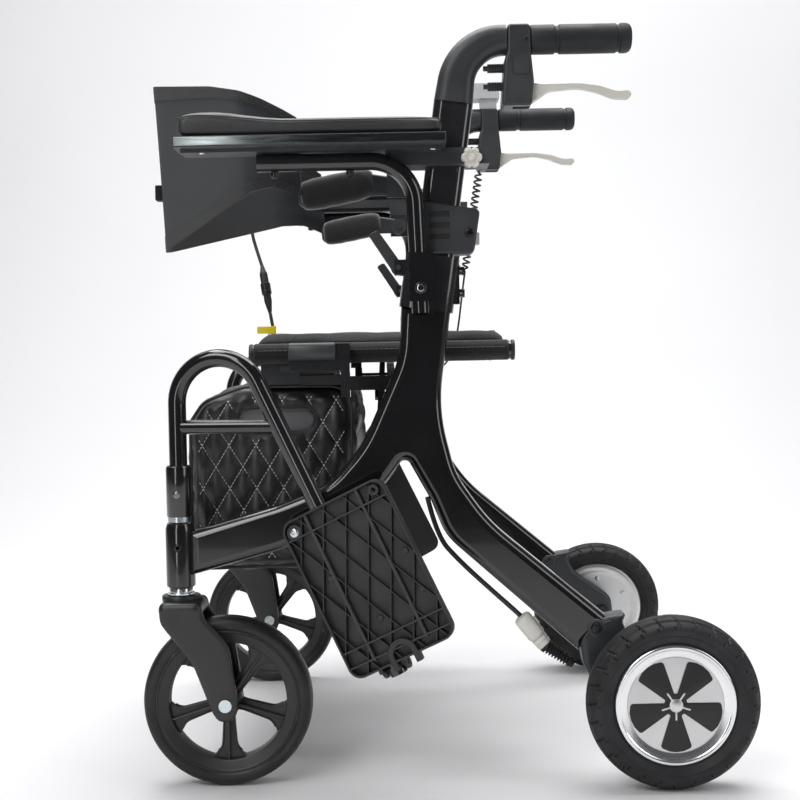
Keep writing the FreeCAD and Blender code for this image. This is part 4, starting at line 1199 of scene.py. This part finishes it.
# ------------------------------------------------------------------ footplates
def footplate():
    """Moulded footplate with its ribbed underside outward: skin, rim, ribs, hinge saddle, bosses and bolt."""
    slope = math.atan2(335.7 - 141.8, 264 - 169)
    normal = Vector((math.sin(slope), math.cos(slope)))
    along = Vector((math.cos(slope), -math.sin(slope)))
    bend = 53.0
    touch = Vector((bend, 451.2)) + normal * bend
    hinge = touch + along * 362.0
    foot = hinge - along * 6.0 + normal * 21.0
    yaw = Matrix.Rotation(math.radians(-13.0), 4, "Z")

    def in_hoop(u, z, n):
        spot = yaw @ Vector((u, -n, z))
        return Vector((-267, -245, 0)) + spot

    spot = in_hoop(foot.x, foot.y, 17.6)
    spin = yaw @ Matrix.Rotation(-(math.pi / 2 - slope), 4, "Y")
    # plate coordinates: X across, Y up the tube, Z outboard
    frame_of = Matrix.Translation(P(*spot)) @ spin @ Matrix.Rotation(math.pi / 2, 4, "X")
    half, long = 66.5, 196.0
    outline = [(-half, 0, 15), (half, 0, 15), (half, long, 15), (-half, long, 15)]
    inner = [(-half + 2.6, 2.6, 12.4), (half - 2.6, 2.6, 12.4), (half - 2.6, long - 2.6, 12.4),
             (-half + 2.6, long - 2.6, 12.4)]
    lift = lambda z: frame_of @ Matrix.Translation((0, 0, z / 1000))
    parts = [plate("skin", [rounded(outline, 8)], 3.4, lift(-4.3), 0.6),
             plate("wall", [rounded(outline, 8), rounded(inner, 8)], 11.6, lift(0.1), 0.5)]

    def inside(x, y):
        """Whether a point of the plate lies inside its rounded rim."""
        dx, dy = max(abs(x) - (half - 16), 0), max(abs(y - long / 2) - (long / 2 - 16), 0)
        return dx * dx + dy * dy < 14.4 ** 2

    def rib(x0, y0, x1, y1, thick, top):
        """A rib between two points, cut to the rim."""
        a, b = Vector((x0, y0)), Vector((x1, y1))
        steps = [t / 400 for t in range(401) if inside(*(a + (b - a) * t / 400))]
        if len(steps) < 12:
            return
        p, q = a + (b - a) * steps[0], a + (b - a) * steps[-1]
        side = (q - p).normalized().orthogonal() * thick / 2
        verts = []
        for z, grow in ((-3.4, 1.15), (top - 0.4, 0.9), (top, 0.55)):
            for corner in (p - side * grow, q - side * grow, q + side * grow, p + side * grow):
                verts.append(frame_of @ Vector((corner.x / 1000, corner.y / 1000, z / 1000)))
        faces = [(8, 9, 10, 11)]
        for level in (0, 4):
            for k in range(4):
                n = (k + 1) % 4
                faces.append((level + k, level + n, level + 4 + n, level + 4 + k))
        parts.append(crisp(new("rib", verts, faces), 25))

    rib(-half, 174, half, 174, 2.4, 5.2)
    rib(-half, 33, half, 33, 2.4, 5.2)
    rib(-half, 14.5, half, 14.5, 2.4, 5.2)
    for x in (-33.5, 33.5):
        rib(x, 12, x, long, 4.2, 4.6)
    lean = math.radians(27.3)
    for number in range(-8, 9):
        middle = number * 26.3 / math.cos(lean) + 4
        for sign in (-1, 1):
            dx, dy = math.sin(lean) * 260, math.cos(lean) * 260
            rib(middle - sign * dx, 103 - dy, middle + sign * dx, 103 + dy, 1.5, 3.4)
    for x, y in ((51.5, 62), (53, 108), (-8, 52), (-40, 116)):
        disc = lathe("pad", [(0.01, 0), (3.4, 0), (4.2, -0.8), (4.2, -2), (0.01, -2)], Vector((0, 0, 0)), 28,
                     "Z", closed=False)
        disc.data.transform(frame_of @ Matrix.Translation((x / 1000, y / 1000, -0.0012)))
        parts.append(disc)
    boss = lathe("boss", [(2.6, -2.8), (6.4, -2.8), (6.4, 4.4), (5.8, 5.0), (3.2, 5.0), (2.6, 4.4)],
                 Vector((0, 0, 0)), 40, "Z")
    boss.data.transform(frame_of @ Matrix.Translation((0.0525, 0.1845, 0)))
    parts.append(boss)
    seat = lathe("seat", [(0.01, -2.6), (9.4, -2.6), (9.4, 2.8), (8.8, 3.4), (0.01, 3.4)], Vector((0, 0, 0)),
                 40, "Z", closed=False)
    seat.data.transform(frame_of @ Matrix.Translation((-0.0535, 0.181, 0)))
    parts.append(seat)
    # hinge saddle: an arch over the tube's end, open towards the plate's foot
    arch = []
    for r, turn in ((17.5, 1), (10.8, -1)):
        sweep = range(0, 181, 12)
        points = [Vector((r * math.cos(math.radians(a)), 6 + r * math.sin(math.radians(a)))) for a in sweep]
        points = [Vector((r, -9))] + points + [Vector((-r, -9))]
        arch += points if turn > 0 else points[::-1]
    parts.append(plate("arch", [arch], 12.4, lift(0.4), 0.7))
    # yoke behind the plate, round the hinge pin
    pin = hinge
    for sign in (-1, 1):
        near = in_hoop(*(pin + normal * sign * 11.6), 0)
        far = in_hoop(*(pin + normal * sign * 17.0), 0)
        parts.append(round_bar("yoke", P(*near), P(*far), 8.0, 36, 0.8))
        low_x, high_x = (11.6, 17.0) if sign > 0 else (-17.0, -11.6)
        loop = [(low_x, 0), (high_x, 0), (high_x, 30), (low_x, 30)]
        corners = []
        for x, y in loop:
            base = pin + normal * x - along * y
            for n in (-3.0, 15.6):
                corners.append(P(*in_hoop(base.x, base.y, n)))
        faces = [(0, 2, 4, 6), (1, 7, 5, 3), (0, 1, 3, 2), (2, 3, 5, 4), (4, 5, 7, 6), (6, 7, 1, 0)]
        parts.append(bevel(new("cheek", corners, faces, smooth=False), 0.8, 2))
    a, b = in_hoop(*(pin - normal * 18.6), 0), in_hoop(*(pin + normal * 18.6), 0)
    parts.append(round_bar("pin", P(*a), P(*b), 4.0, 28, 0.6))
    body = paint(join("footplate", *parts), "rib")
    bolt = screw("bolt", frame_of @ Vector((-0.0535, 0.181, 0.0034)), (frame_of.to_3x3() @ Vector((0, 0, 1))),
                 5.6, 2.2)
    return join("footplate", body, paint(bolt, "zinc"))


both(footplate, "footplate_look", "footplate", ("footplate",), "black_plastic")


# ------------------------------------------------------------------ armrest pads and backrest sleeves
def armrest_pad():
    """Moulded pad, higher at its front end, with a piped top edge; blown up a little and settled."""
    stations = []
    for x in [-248.5, -247, -243, -236, -226, -214, -200, -184, -168, -150, -130, -108, -84, -58, -30, 0, 20,
              34, 42, 47, 49]:
        if x < -226:
            t = (x + 250) / 24
            top = 771.0 + 9.0 * math.sqrt(max(0, 1 - (1 - t) ** 2))
        elif x < -120:
            t = (x + 226) / 106
            top = 780.0 - 9.8 * (3 * t * t - 2 * t ** 3)
        elif x < 36:
            top = 770.2
        else:
            t = (x - 36) / 14
            top = 770.2 - 5.5 * (1 - math.sqrt(max(0, 1 - t * t)))
        stations.append((x, top))
    rings = []
    for x, top in stations:
        end = min(x + 250, 50 - x)
        half = 26.0 - (6.0 * (1 - min(1, end / 7.0)) ** 2)
        low = 752.6
        ring = []
        for u, v in ((-1, 0.02), (-1.0, 0.35), (-1.0, 0.70), (-0.965, 0.86), (-0.88, 0.96), (-0.72, 1.0),
                     (-0.4, 1.015), (0, 1.02), (0.4, 1.015), (0.72, 1.0), (0.88, 0.96), (0.965, 0.86),
                     (1.0, 0.70), (1.0, 0.35), (1.0, 0.02)):
            ring.append(P(x, -290.3 + half * u, low + (top - 0.8 - low) * v))
        rings.append(ring)
    pad = loft("pad", rings)
    swell(pad, 14, 3.0, 1.6, 4.0)
    co = np.array([v.co for v in pad.data.vertices])
    co[:, 2] = np.maximum(co[:, 2], 0.7522)
    pad.data.vertices.foreach_set("co", co.ravel())
    pad.data.update()
    paint(pad, "padskin")
    edge = []
    for x, top in stations[1:-1]:
        edge.append(P(x, -290.3 - 26.15, 752.6 + (top - 752.6) * 0.80))
    piping = paint(tube("piping", edge, 0.75, 8), "black")
    return join("pad", pad, piping)


both(armrest_pad, "armrest_pad_look", "frame", ("armrest_pad",), "pad_vinyl", padded=0.9)


def sleeve():
    """Fuzzy padded sleeve over the backrest arm, narrower at its two ends."""
    rings = []
    places = [(-118, 0.80), (-116, 0.92), (-108, 1.0), (-96, 1.02), (-80, 1.02), (-64, 1.0), (-50, 0.96),
              (-40, 0.88), (-32, 0.74), (-29, 0.6)]
    for x, grow in places:
        middle = 710.5 + (x + 30) * 0.185
        tall, deep = (18.5 + (x + 118) * 0.02) * grow, 10.5 * grow
        ring = []
        for k in range(20):
            a = 2 * math.pi * k / 20
            c, s = math.cos(a), math.sin(a)
            y = deep * math.copysign(abs(c) ** 0.7, c)
            z = tall * math.copysign(abs(s) ** 0.75, s)
            ring.append(P(x - z * 0.12, -219.5 + y, middle + z))
        rings.append(ring)
    obj = loft("sleeve", rings)
    swell(obj, 12, 3.0, 1.5, 4.0)
    return paint(obj, "fleece")


both(sleeve, "backrest_sleeve", "backrest", (), "band_fabric", padded=0.5)


# ------------------------------------------------------------------ seat
def seat_sling():
    """Padded sling: a soft cushion between two sleeves sewn round the seat rails, with seams along them."""
    rings = []
    for x, grow in ((-180, 0.35), (-178, 0.62), (-173, 0.86), (-164, 1.0), (-120, 1.0), (-80, 1.0),
                    (-40, 1.0), (-20, 1.0),
                    (20, 1.0), (60, 1.0), (100, 1.0), (115, 1.0), (121, 0.86), (125, 0.62), (127, 0.35)):
        ring = []
        for y, top, foot in ((-191, 3, -2), (-184, 8, -5), (-170, 10.5, -6), (-130, 12, -6.5),
                             (-60, 12.8, -6.8), (0, 13, -7),
                             (60, 12.8, -6.8), (130, 12, -6.5), (170, 10.5, -6), (184, 8, -5), (191, 3, -2)):
            ring.append((y, top * grow, foot * grow))
        upper = [P(x, y, 519.5 + top) for y, top, foot in ring]
        lower = [P(x, y, 519.5 + foot) for y, top, foot in reversed(ring)]
        rings.append(upper + lower)
    cushion = loft("cushion", rings)
    swell(cushion, 16, 4.0, 2.5, 5.0)
    places = np.array([v.co for v in cushion.data.vertices])
    ripple = 0.0009 * np.sin(places[:, 0] * 61 + 1.3) * np.cos(places[:, 1] * 47)
    places[:, 2] += ripple * (np.abs(places[:, 1]) < 0.185)
    cushion.data.vertices.foreach_set("co", places.ravel())
    parts = [cushion]
    for side in (-1, 1):
        rings = []
        for x in (-180, -179, -176, -120, -60, 0, 60, 110, 124, 127, 128):
            grow = 11.25 if x in (-180, 128) else 12.1
            ring = []
            for k in range(25):
                a = math.radians(78 + 234 * k / 24)
                ring.append(P(x, side * (200 - grow * math.cos(a)), 508 + grow * math.sin(a)))
            ring += [P(x, side * 183, 512), P(x, side * 176, 514.5), P(x, side * 176, 519),
                     P(x, side * 186, 521)]
            rings.append(ring)
        parts.append(loft("rail_sleeve", rings))
    for obj in parts:
        paint(obj, "seat")
    seams = []
    for side in (-1, 1):
        for angle in (62, 18):
            a = math.radians(180 - angle)
            y, z = side * (200 - 12.15 * math.cos(a)), 508 + 12.15 * math.sin(a)
            for k in range(49):
                x = -174 + k * 6.1
                seams.append(tube("stitch", [P(x, y, z), P(x + 4.1, y, z)], 0.45, 6))
    for x in (-166, 114):
        for k in range(58):
            y = -176 + k * 6.1
            z = float(np.max(places[np.hypot(places[:, 0] - P(x, 0, 0).x, places[:, 1] - y / 1000) < 0.006,
                                    2], initial=0.5)) * 1000
            if z > 510:
                seams.append(tube("stitch", [P(x, y, z + 0.1), P(x, y + 4.1, z + 0.1)], 0.45, 6))
    return join("seat_sling_look", *parts, paint(join("stitches", *seams), "dark"))


seat = seat_sling()
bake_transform(seat)
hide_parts("seat_sling")


# ------------------------------------------------------------------ backrest band
def spaced(points, step):
    """Points every step along an open line."""
    run = [0.0]
    for a, b in zip(points, points[1:]):
        run.append(run[-1] + (b - a).length)
    count = round(run[-1] / step)
    out, place = [], 0
    for k in range(count + 1):
        want = run[-1] * k / count
        while place < len(run) - 2 and run[place + 1] < want:
            place += 1
        part = (want - run[place]) / max(run[place + 1] - run[place], 1e-9)
        out.append(points[place].lerp(points[place + 1], min(1, part)))
    return out


def backrest_band():
    """Woven band round the user's back, with a stitched hem above and below and a tab in front."""
    half = [(-118, -228.5, 0), (-175, -204, 120)]
    line = spaced(rounded(half + [(-330.5, 0, 30)] + [(x, -y, r) for x, y, r in reversed(half)], 14), 4.0)
    lean = math.radians(BAND_LEAN)

    def tilted(x, y, z):
        dx, dz = x + 118, z - 728
        return P(-118 + dx * math.cos(lean) - dz * math.sin(lean), y,
                 728 + dz * math.cos(lean) + dx * math.sin(lean))

    def edges(x):
        foot = np.interp(x, (-345, -180, -150, -112), (655, 708.5, 710, 692))
        top = np.interp(x, (-345, -230, -190, -160, -135, -112), (893.5, 853, 834, 816.5, 800, 783))
        return float(foot), float(top)

    def out(i):
        a, b = line[max(i - 1, 0)], line[min(i + 1, len(line) - 1)]
        run = (b - a).normalized()
        return Vector((-run.y, run.x)) * (1 if (a.x * -1) > 0 else 1)

    count = 34
    grid, area = [], 0.0
    for i, spot in enumerate(line):
        foot, top = edges(spot.x)
        normal = out(i)
        if normal.dot(spot - Vector((-150, 0))) < 0:
            normal = -normal
        column = []
        for k in range(count + 1):
            t = k / count
            ease = math.sin(math.pi * t)
            end = min(i, len(line) - 1 - i) * 4.0
            ripple = 1.3 * math.sin(t * 21 + end * 0.03) * math.exp(-end / 60) * ease
            belly = 0.8 * math.sin(i * 0.07 + 0.5) * ease
            column.append((spot + normal * (ripple + belly), normal, foot + (top - foot) * t))
        grid.append(column)

    def skin(name, rows, near, far):
        """A layer of the band between two offsets from its middle, over the given rows."""
        rings = []
        for column in grid:
            ring = []
            for k in rows:
                spot, normal, z = column[k]
                q = spot + normal * far
                ring.append(tilted(q.x, q.y, z))
            for k in reversed(rows):
                spot, normal, z = column[k]
                q = spot + normal * near
                ring.append(tilted(q.x, q.y, z))
            rings.append(ring)
        return loft(name, rings)

    body = paint(crisp(skin("band", range(count + 1), -0.9, 0.9), 50), "navy")
    upper = paint(crisp(skin("hem", range(count - 3, count + 1), -1.6, 1.6), 50), "seat")
    lower = paint(crisp(skin("hem", range(0, 4), -1.6, 1.6), 50), "seat")
    tab = paint(block("tab", (-332.5, -9, 721), (-322, 9, 742), 2.0), "seat")
    stitches = []
    for row in (1, 3, count - 3, count - 1):
        for i in range(2, len(grid) - 2, 2):
            ends = []
            for step in (0, 1):
                spot, normal, z = grid[i + step][row]
                q = spot + normal * 1.75
                ends.append(tilted(q.x, q.y, z))
            stitches.append(tube("stitch", [ends[0], ends[0].lerp(ends[1], 0.95)], 0.42, 5))
    seam = paint(join("stitches", *stitches), "dark")
    for a, b in zip(line, line[1:]):
        foot, top = edges((a.x + b.x) / 2)
        area += (b - a).length * (top - foot) / 1e6
    long = sum((b - a).length for a, b in zip(line, line[1:])) / 1000
    return join("backrest_band_look", body, upper, lower, seam, tab), long, area


BAND_LEAN = 3.1
band, band_long, band_area = backrest_band()
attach(band, "backrest_left")
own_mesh(band)
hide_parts("backrest_band")


# ------------------------------------------------------------------ bag
def bag_look():
    """Quilted bag: puffed diamonds between stitched lines, piping on its edges and a lined hand slot."""
    corners = [(-262, 247, 22), (-66, 250, 22), (-64, 467, 26), (-196, 468, 40), (-244, 451, 30),
               (-261, 426, 16)]
    loop = rounded(corners, 7)
    shell = plate("bag", [loop], 374, Matrix.Translation(P(0, 0, 0)) @ Matrix.Rotation(math.pi / 2, 4, "X"),
                  7.0)
    swell(shell, 12, 3.0, 3.0, 4.2)
    co = np.array([v.co for v in shell.data.vertices]) * 1000
    co[:, 0] += SHIFT
    normal = np.array([v.normal for v in shell.data.vertices])
    around = [(a, (b - a).normalized(), (b - a).length) for a, b in zip(loop, loop[1:] + loop[:1])]
    best, place, total = np.full(len(co), 1e9), np.zeros(len(co)), 0.0
    for a, run, long in around:
        along = np.clip((co[:, 0] - a.x) * run.x + (co[:, 2] - a.y) * run.y, 0, long)
        far = np.hypot(co[:, 0] - a.x - run.x * along, co[:, 2] - a.y - run.y * along)
        near = far < best
        best[near], place[near] = far[near], total + along[near]
        total += long

    def puff(u, v):
        a, b = np.abs(np.sin(np.pi * (u / 33 + v / 53))), np.abs(np.sin(np.pi * (u / 33 - v / 53)))
        return (a * b) ** 0.55

    flank = np.abs(normal[:, 1]) > 0.6
    fade_side = np.clip((best - 7) / 9, 0, 1)
    fade_strip = np.clip((187 - np.abs(co[:, 1]) - 7) / 9, 0, 1)
    lift = np.where(flank, fade_side * (puff(co[:, 0], co[:, 2]) * 6.4 - 2.0),
                    fade_strip * (puff(co[:, 1], place) * 6.4 - 2.0))
    in_slot = np.hypot(np.maximum(np.abs(co[:, 0] + 156.5) - 32, 0), co[:, 2] - 427.5)
    slot = flank & (in_slot < 15.5)
    lift = np.where(slot, -8.0, lift)
    lift = np.where(flank & (in_slot >= 15.5) & (in_slot < 20), 0.8, lift)
    moved = co + normal * lift[:, None]
    moved[:, 0] -= SHIFT
    shell.data.vertices.foreach_set("co", (moved / 1000).ravel())
    shell.data.update()
    parts = [paint(shell, "leather")]
    for side in (-1, 1):
        edge = [P(x + 0.6 * (x + 160) / 100, side * 186.5, z + 0.6 * (z - 357) / 100) for x,
                z in rounded(corners, 7)]
        parts.append(paint(tube("piping", edge, 2.1, 10, closed=True), "leather"))
        ring = [P(-156.5 + p.x, side * 188.8, 427.5 + p.y) for p in
                rounded([(-47.5, -15.5, 15.4), (47.5, -15.5, 15.4), (47.5, 15.5, 15.4), (-47.5, 15.5, 15.4)],
                        10)]
        parts.append(paint(tube("slot_edge", ring, 1.7, 10, closed=True), "leather"))
        hole = rounded([(-47, -15, 14.9), (47, -15, 14.9), (47, 15, 14.9), (-47, 15, 14.9)], 10)
        parts.append(paint(plate("slot_lining", [hole], 2.0, upright(-156.5, side * 183.4, 427.5), 0.3),
                           "lining"))

    skin = BVHTree.FromPolygons([v.co for v in shell.data.vertices],
                                [p.vertices for p in shell.data.polygons])

    def depth(x, z, side):
        """Where the leather stands at a place of the flank, in millimetres from the middle plane."""
        start = P(x, side * 230, z)
        hit = skin.ray_cast(start, Vector((0, -side, 0)))[0]
        return abs(hit.y) * 1000 if hit else 186.0

    def inside(x, z, gap):
        for (x0, z0, _), (x1, z1, _) in zip(corners, corners[1:] + corners[:1]):
            run = math.hypot(x1 - x0, z1 - z0)
            if ((x1 - x0) * (z - z0) - (z1 - z0) * (x - x0)) / run < gap:
                return False
        return math.hypot(max(abs(x + 156.5) - 32, 0), z - 427.5) > 21

    def dash(a, b):
        verts, mid = [], (a + b) / 2
        run = (b - a).normalized()
        across = run.cross(Vector((0, 1, 0))).normalized()
        out = Vector((0, 1, 0)) if mid.y > 0 else Vector((0, -1, 0))
        for place, wide in ((a, 0.2), (a.lerp(b, 0.18), 0.46), (a.lerp(b, 0.82), 0.46), (b, 0.2)):
            for turn in range(6):
                t = math.radians(60 * turn)
                verts.append(place + (across * math.cos(t) + out * math.sin(t)) * wide / 1000)
        start = len(threads_verts)
        threads_verts.extend(verts)
        for ring in range(3):
            for k in range(6):
                n = (k + 1) % 6
                threads_faces.append((start + ring * 6 + k, start + ring * 6 + n, start + ring * 6 + 6 + n,
                                      start + ring * 6 + 6 + k))
        threads_faces.append(tuple(start + k for k in range(6))[::-1])
        threads_faces.append(tuple(start + 18 + k for k in range(6)))

    threads_verts, threads_faces = [], []
    slope = math.hypot(33, 53)
    for side in (-1, 1):
        for lean in (-1, 1):
            for number in range(-40, 60):
                for k in range(-10, 160):
                    z = 230 + k * 4.7 * 53 / slope
                    x = (number - lean * z / 53) * 33
                    x2, z2 = x - lean * 3.2 * 33 / slope, z + 3.2 * 53 / slope
                    if inside(x, z, 8) and inside(x2, z2, 8):
                        dash(P(x, side * (depth(x, z, side) + 0.3), z),
                             P(x2, side * (depth(x2, z2, side) + 0.3), z2))
    thread = paint(new("thread", threads_verts, threads_faces), "thread")
    return join("bag_look", *parts, thread)


bag = bag_look()
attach(bag, "frame_left")
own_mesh(bag)
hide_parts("bag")


# ------------------------------------------------------------------ battery strap
def battery_trim():
    """Strap, end cap and latch of the battery case."""
    strap = block("strap", (-126, -193, 469.2), (-65, -190.4, 482), 0.9)
    cap = block("cap", (-171, -191.6, 484), (-90, -190.2, 497), 0.6)
    latch = block("latch", (-150, -192.4, 486.5), (-122, -191.4, 494.5), 0.6)
    return join("battery_trim", paint(strap, "black"), paint(cap, "battery"), paint(latch, "dark"))


trim = battery_trim()
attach(trim, "frame_left")


def slender_plug():
    """Three-part in-line connector: two tapered shells and a ribbed nut between them."""
    start, end = P(-218.5, 262, 650), P(-205, 236, 577)
    run = end - start
    long = run.length * 1000
    profile = [(0.01, 0), (2.7, 0), (3.2, 1), (4.6, 9), (6.0, 12), (6.3, 15), (6.3, long * 0.38)]
    place = long * 0.38
    profile += [(7.6, place + 0.6), (7.8, place + 1.4)]
    for k in range(4):
        profile += [(7.8, place + 3.6 + k * 4), (6.9, place + 4.0 + k * 4), (6.9, place + 4.8 + k * 4),
                    (7.8, place + 5.2 + k * 4)]
    profile += [(7.8, long * 0.61 - 1), (6.9, long * 0.61), (5.9, long * 0.63), (5.9, long - 18),
                (4.4, long - 9), (3.1, long - 1), (2.7, long), (0.01, long)]
    obj = lathe("lead_plug", profile, Vector((0, 0, 0)), 48, "Z", closed=False)
    stand(obj, start, run)
    return paint(obj, "black")


plug = slender_plug()
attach(plug, "frame_right")
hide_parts("lead_connector")
upper_lead = paint(nurbs("armrest_lead_upper",
                         [P(-238, 286, 734.8), P(-237, 285, 708), P(-229, 275, 680), P(-218.5, 262, 650)],
                         2.6), "cable")
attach(upper_lead, "frame_right")
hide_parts("armrest_lead")
points = line_of(upper_lead)
lower_lead = paint(nurbs("armrest_lead_lower", [
    P(-205, 236, 577), P(-200.5, 228, 555), P(-197, 224, 535), P(-188, 221, 517), P(-170, 220, 506),
    P(-150, 219.5, 503), P(-135, 219.5, 503),
], 2.6), "cable")
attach(lower_lead, "frame_right")
points = line_of(lower_lead)
tag = paint(join("lead_tag",
                 plate("flag", [rounded([(-13.5, -5.5, 1.5), (13.5, -5.5, 1.5), (13.5, 5.5, 1.5),
                                         (-13.5, 5.5, 1.5)], 4)],
                                   1.2, upright(-210.5, 221.5, 549), 0.3),
                 lathe("cuff", [(2.9, -6), (4.4, -6), (4.4, 6), (2.9, 6)], P(-199.4, 226.4, 549), 32, "Z")),
                 "yellow")
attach(tag, "frame_right")


def curly():
    """Coiled control lead: its helix follows one smooth line from the brake housing to the side frame."""
    guide = nurbs("curly_guide", [
        P(124, 245, 789.7), P(104, 245, 664), P(99, 245, 632), P(93, 245, 590), P(88, 245, 550),
        P(80, 245, 515), P(67, 245, 490), P(51.5, 245, 478.5),
    ], 2.6)
    line = spaced(line_of(guide), 0.00035)
    bpy.data.curves.remove(guide.data)
    points, turn, travelled = [], 0.0, 0.0
    for i, spot in enumerate(line):
        travelled = 0.00035 * i
        run = (line[min(i + 1, len(line) - 1)] - line[max(i - 1, 0)]).normalized()
        other = Vector((0, 1, 0))
        side = other.cross(run).normalized()
        rise = min(1, travelled / 0.006)
        fall = min(1, max(0, (0.158 - travelled) / 0.012))
        wide = 0.0052 * rise * fall
        turn += 0.35 / 8.6 * 2 * math.pi * (1 if fall > 0 else 0)
        points.append(spot + (side * math.cos(turn) + other * math.sin(turn)) * wide)
    kept = [points[0]]
    for p in points[1:]:
        if (p - kept[-1]).length > 0.0018:
            kept.append(p)
    if (points[-1] - kept[-1]).length > 0.0004:
        kept.append(points[-1])
    obj = paint(tube("curly_lead_look", kept, 1.55, 8), "cable")
    return obj, kept


coil, coil_line = curly()
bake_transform(coil)
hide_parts("curly_lead")


def cream_plug(side):
    """Square-shouldered cable coupling with a latch, a collar and gripping grooves."""
    start, end = P(134, side * 239, 192), P(163, side * 239, 156)
    run = end - start
    long = run.length * 1000
    turn = Matrix.Translation(start) @ run.to_track_quat("Z", "Y").to_matrix().to_4x4()
    rings = []
    for z, half, power in ((0, 4.6, 1.0), (0.6, 7.0, 1.0), (2.0, 9.6, 0.85), (4.5, 11.0, 0.8),
                           (29, 11.2, 0.8), (31, 10.4, 0.85), (31.6, 8.6, 0.9), (33, 8.6, 0.9),
                           (33.6, 9.6, 0.9), (38, 9.6, 0.9), (38.6, 8.8, 0.9), (40, 8.8, 0.9),
                           (40.6, 9.4, 0.9), (long - 2, 9.2, 0.9), (long, 7.6, 0.9)):
        ring = []
        for k in range(28):
            a = 2 * math.pi * k / 28
            c, s = math.cos(a), math.sin(a)
            ring.append(turn @ Vector((half * math.copysign(abs(c) ** power, c) / 1000,
                                       half * math.copysign(abs(s) ** power, s) / 1000, z / 1000)))
        rings.append(ring)
    body = crisp(loft("plug", rings), 35)
    latch = new("latch", [turn @ Vector((x / 1000, y / 1000, z / 1000)) for x in (-3, 3) for y in (10.2,
        12.6) for z in (11, 21)],
                [(0, 1, 3, 2), (4, 6, 7, 5), (0, 4, 5, 1), (2, 3, 7, 6), (0, 2, 6, 4), (1, 5, 7, 3)],
                smooth=False)
    return paint(join("plug", body, bevel(latch, 0.6, 2)), "cream")


def ribbed_boot(side):
    """Corrugated rubber boot over the cable's end."""
    start, end = P(161.5, side * 239, 157.5), P(196, side * 243, 134)
    run = end - start
    long = run.length * 1000
    profile = [(0.01, 0), (8.2, 0), (8.8, 1.2), (8.8, 5)]
    place = 5.0
    while place < long - 7:
        wide = 8.8 - 2.4 * place / long
        profile += [(wide - 2.6, place + 0.7), (wide - 2.6, place + 1.5), (wide, place + 2.4),
                    (wide, place + 3.3)]
        place += 3.9
    profile += [(5.6, long - 2), (4.8, long), (0.01, long)]
    obj = lathe("boot", profile, Vector((0, 0, 0)), 44, "Z", closed=False)
    stand(obj, start, run)
    return paint(obj, "tyre")


for side_name, sign in SIDES:
    body = f"frame_{side_name}"
    cable = paint(nurbs(f"motor_cable_{side_name}", [
        P(26, sign * 245, 336), P(36, sign * 245, 290), P(62, sign * 245, 260), P(98, sign * 245, 226),
        P(126, sign * 241, 200), P(136, sign * 239, 190),
    ], 3.0), "cable")
    coupling = cream_plug(sign)
    coupling.name = f"motor_plug_{side_name}"
    boot = ribbed_boot(sign)
    boot.name = f"motor_boot_{side_name}"
    for obj in (cable, coupling, boot):
        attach(obj, body)
    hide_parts(f"motor_lead_{side_name}")
    points = line_of(cable)
